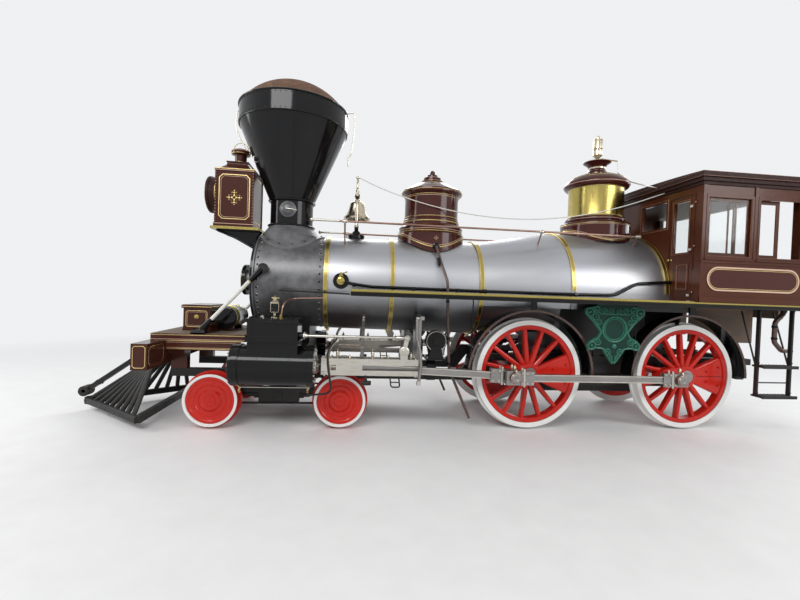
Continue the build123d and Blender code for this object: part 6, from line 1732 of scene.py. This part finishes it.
# Rear end, steps, pipes and small ironwork below the boards
def low_dressing():
    shape = Shape()
    step_x, half = -3.27, 0.245
    for side, out in SIDES:
        for z in (0.584, 0.984):
            for i in range(9):
                x = step_x - half + 0.03 + i * 0.055
                shape.box((x, x + 0.02), (side * 1.11, side * 1.25), (z, z + 0.006), "iron")
            shape.box(
                (step_x - half - 0.014, step_x + half + 0.014),
                (side * 1.255, side * 1.266), (z - 0.03, z + 0.012), "iron",
            )
        for x in (-half, half):
            shape.nuts([(step_x + x, side * 1.18, z) for z in (0.62, 1.02, 1.72)], out, 0.011, "iron")
            shape.rod((step_x + x, side * 1.13, 1.0), (step_x + x, side * 0.9, 1.7), 0.011, "iron")
        shape.rod((step_x - half, side * 1.155, 0.75), (step_x + half, side * 1.155, 0.75), 0.009, "iron")
        shape.lathe(
            (SAND_X - 0.033, side * 0.635, 2.225), Vector((-0.16, side * 0.5, -0.85)).normalized(),
            ((0.026, -0.05), (0.032, -0.046), (0.032, 0.046), (0.026, 0.05)), "black", 16,
        )
        for x, y, z in (
            (SAND_X - 0.126, 0.8, 1.69), (SAND_X - 0.15, 0.797, 1.2), (SAND_X - 0.172, 0.791, 0.87),
        ):
            shape.lathe((x, side * y, z), Z, ((0.025, -0.018), (0.025, 0.018)), "black", 16)
        shape.tube([(-3.5, side * 1.06, 1.7), (-3.5, side * 1.06, 1.78)], 0.036, "black", 0.01)
        for z in (1.5, 1.34):
            shape.lathe((-3.372, side * 1.06, z), Z, ((0.036, -0.015), (0.036, 0.015)), "black", 16)
        for axle_x in (0.0, REAR_X):
            for i in range(5):
                shape.box(
                    (axle_x - 0.052, axle_x + 0.052), (side * 0.432, side * 0.53),
                    (1.016 + i * 0.016, 1.02 + i * 0.016), "iron",
                )
            shape.nuts([(axle_x + end, side * 0.48, 1.122) for end in (-0.432, 0.432)], Z, 0.018, "iron")
            shape.box((axle_x - 0.11, axle_x + 0.11), (side * 0.53, side * 0.542), (0.6, 0.9), "iron")
            shape.nuts(
                [(axle_x + dx, side * 0.542, z) for dx in (-0.085, 0.085) for z in (0.64, 0.86)],
                out, 0.013, "iron",
            )
        shape.nuts([(x, side * 0.53, z) for x in (2.95, 3.2, 3.45) for z in (0.63, 0.67)], out, 0.012, "iron")
    shape.make("low_ironwork", "dark_iron", bevel=0.0012)


HANDRAIL = (0.59, 2.705)


def rail_dressing():
    """Collars and end caps of the handrails, and their bright front ends."""
    shape = Shape()
    y, z = HANDRAIL
    for side, _ in SIDES:
        for x in (-1.64, -0.205, 2.526):
            shape.lathe((x, side * y, z), X, (
                (0.016, -0.034), (0.022, -0.026), (0.027, 0), (0.022, 0.026), (0.016, 0.034),
            ), "steel", 20)
        for x, out in ((-1.65, -X), (2.94, X)):
            shape.lathe((x, side * y, z), out, (
                (0.014, -0.01), (0.026, 0.004), (0.029, 0.018), (0.024, 0.034), (0.008, 0.045),
            ), "steel", 20)
        shape.rod((2.6, side * y, z), (2.93, side * y, z), 0.0148, "steel", 16)
    shape.make("handrail_ends", "bright_steel")


# Bell cord: a cotton rope along the same points as its CAD route
CORD_R = 0.007
CORD_POINTS = (
    (2.347, 0.33, 3.357), (2.145, 0.351, 3.262), (1.941, 0.369, 3.187), (1.737, 0.388, 3.12),
    (1.533, 0.406, 3.06), (1.329, 0.424, 3.01), (1.125, 0.443, 2.967), (0.921, 0.461, 2.932),
    (0.717, 0.48, 2.905), (0.513, 0.498, 2.887), (0.309, 0.516, 2.876), (0.105, 0.535, 2.874),
    (-0.099, 0.553, 2.88), (-0.303, 0.572, 2.895), (-0.507, 0.59, 2.919), (-0.711, 0.609, 2.951),
    (-0.915, 0.627, 2.993), (-1.119, 0.645, 3.042), (-1.323, 0.664, 3.101), (-1.527, 0.682, 3.168),
    (-1.731, 0.701, 3.244), (-1.924, 0.718, 3.314),
)


def bell_cord():
    curve = bpy.data.curves.new("cord_line", "CURVE")
    curve.dimensions = "3D"
    spline = curve.splines.new("NURBS")
    spline.points.add(len(CORD_POINTS) - 1)
    route = [(MAIN_AXLE.x + x, y, z) for x, y, z in CORD_POINTS]
    for point, place in zip(spline.points, route):
        point.co = (*place, 1.0)
    spline.order_u = 3
    spline.use_endpoint_u = True
    spline.resolution_u = 12
    holder = bpy.data.objects.new("cord_line", curve)
    bpy.context.scene.collection.objects.link(holder)
    read = bpy.data.meshes.new_from_object(holder)
    path = [v.co.copy() for v in read.vertices]
    bpy.data.objects.remove(holder)
    bpy.data.meshes.remove(read)

    shape = Shape(origin=Vector())
    shape.sweep(path, CORD_R, "rope", 12)
    bmesh.ops.recalc_face_normals(shape.mesh, faces=shape.mesh.faces)
    data = bpy.data.meshes.new("bell_rope")
    shape.mesh.to_mesh(data)
    shape.mesh.free()
    data.materials.append(INKS["rope"])
    data.shade_smooth()
    piece = bpy.data.objects.new("bell_rope", data)
    bpy.context.scene.collection.objects.link(piece)
    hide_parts("bell_cord")
    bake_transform(piece)



# Camera at the photograph's place: position, turn, tilt and roll were solved from the wheels
EYE = Vector((1.24045, 6.1014, 1.78773))
YAW, PITCH, ROLL = -0.10585, 0.018643, 0.035959
LENS = 18.45


def photo_camera():
    """The camera as the photograph was taken, looking at the left side."""
    level = Matrix(((-1, 0, 0), (0, 0, -1), (0, -1, 0)))
    turn = Matrix(((math.cos(YAW), 0, math.sin(YAW)), (0, 1, 0), (-math.sin(YAW), 0, math.cos(YAW))))
    tilt = Matrix(((1, 0, 0), (0, math.cos(PITCH), -math.sin(PITCH)), (0, math.sin(PITCH), math.cos(PITCH))))
    roll = Matrix(((math.cos(ROLL), -math.sin(ROLL), 0), (math.sin(ROLL), math.cos(ROLL), 0), (0, 0, 1)))
    right, down, ahead = roll @ tilt @ turn @ level
    camera = bpy.data.objects.new("photo_camera", bpy.data.cameras.new("photo_camera"))
    bpy.context.scene.collection.objects.link(camera)
    axes = Matrix((right, -down, -ahead)).transposed()
    camera.matrix_world = Matrix.Translation(EYE) @ axes.to_4x4()
    camera.data.lens = LENS
    camera.data.sensor_width = 36.0
    camera.data.clip_start = 0.05
    camera.data.clip_end = 200.0
    bpy.context.scene.camera = camera


SKY = (0.93, 0.94, 0.955)
# The floor turns into the background between these distances from the middle
FLOOR_FADE = (5.5, 12.5)


def background_rays(tree):
    """1 for rays of the camera, of mirrors and of glass, which see the plain background."""
    path = tree.nodes.new("ShaderNodeLightPath")
    seen = path.outputs["Is Camera Ray"]
    for ray in ("Is Glossy Ray", "Is Transmission Ray"):
        larger = tree.nodes.new("ShaderNodeMath")
        larger.operation = "MAXIMUM"
        tree.links.new(seen, larger.inputs[0])
        tree.links.new(path.outputs[ray], larger.inputs[1])
        seen = larger.outputs[0]
    return seen


def studio():
    """A pale floor, a pale sky and large soft lamps."""
    bpy.ops.mesh.primitive_circle_add(vertices=64, radius=90.0, fill_type="NGON")
    floor = bpy.context.object
    floor.name = "floor"
    made, tree, principled, place = shader("floor")
    body = mixed(
        tree, spread(tree, noise(tree, place, 3.0, 3.0), 0.0, 1.0), (0.82, 0.82, 0.815), (0.86, 0.86, 0.855),
    )
    finish_paint(tree, principled, Base_Color=body, Roughness=0.6)
    distance = tree.nodes.new("ShaderNodeVectorMath")
    distance.operation = "LENGTH"
    tree.links.new(place, distance.inputs[0])
    far = spread(tree, distance.outputs["Value"], 0.0, 1.0, *FLOOR_FADE)
    glow = tree.nodes.new("ShaderNodeEmission")
    put(tree, glow.inputs["Color"], SKY)
    put(tree, glow.inputs["Strength"], 0.93)
    blend = tree.nodes.new("ShaderNodeMixShader")
    tree.links.new(product(tree, far, background_rays(tree)), blend.inputs[0])
    tree.links.new(principled.outputs[0], blend.inputs[1])
    tree.links.new(glow.outputs[0], blend.inputs[2])
    tree.links.new(blend.outputs[0], tree.nodes["Material Output"].inputs["Surface"])
    floor.data.materials.append(made)

    world = bpy.data.worlds.new("studio")
    bpy.context.scene.world = world
    world.use_nodes = True
    tree = world.node_tree
    background = tree.nodes["Background"]
    put(tree, background.inputs["Color"], SKY)
    put(tree, background.inputs["Strength"], spread(tree, background_rays(tree), 0.42, 0.93, 0.0, 1.0))

    for name, spot, aim, size, power in (
        ("key", (5.0, 9.0, 8.5), (0.5, 0.0, 1.6), (7.0, 3.0), 620.0),
        ("fill", (-7.5, 8.0, 5.5), (-2.0, 0.0, 1.5), (5.0, 4.0), 330.0),
        ("back", (0.0, -9.0, 8.0), (0.0, 0.0, 1.5), (9.0, 3.0), 480.0),
        ("front", (11.0, 0.5, 5.0), (1.0, 0.0, 1.5), (4.0, 4.0), 260.0),
        ("tail", (-11.0, -1.0, 5.0), (-1.0, 0.0, 1.5), (4.0, 4.0), 230.0),
    ):
        lamp = bpy.data.lights.new(name, "AREA")
        lamp.shape = "RECTANGLE"
        lamp.size, lamp.size_y = size
        lamp.energy = power
        holder = bpy.data.objects.new(name, lamp)
        holder.location = spot
        holder.rotation_euler = (Vector(aim) - Vector(spot)).to_track_quat("-Z", "Y").to_euler()
        bpy.context.scene.collection.objects.link(holder)


photo_camera()
studio()
bell_cord()
for build in (
    stack_dressing, headlight_dressing, smokebox_dressing, cylinder_dressing, motion_dressing, all_rods,
    wheel_dressing, truck_dressing, bell_dressing, dome_dressing, boiler_dressing, board_dressing,
    cab_dressing, cab_interior, deck_dressing, pilot_dressing, bracket_dressing, low_dressing, rail_dressing,
):
    build()
bpy.context.scene.view_settings.view_transform = "Standard"
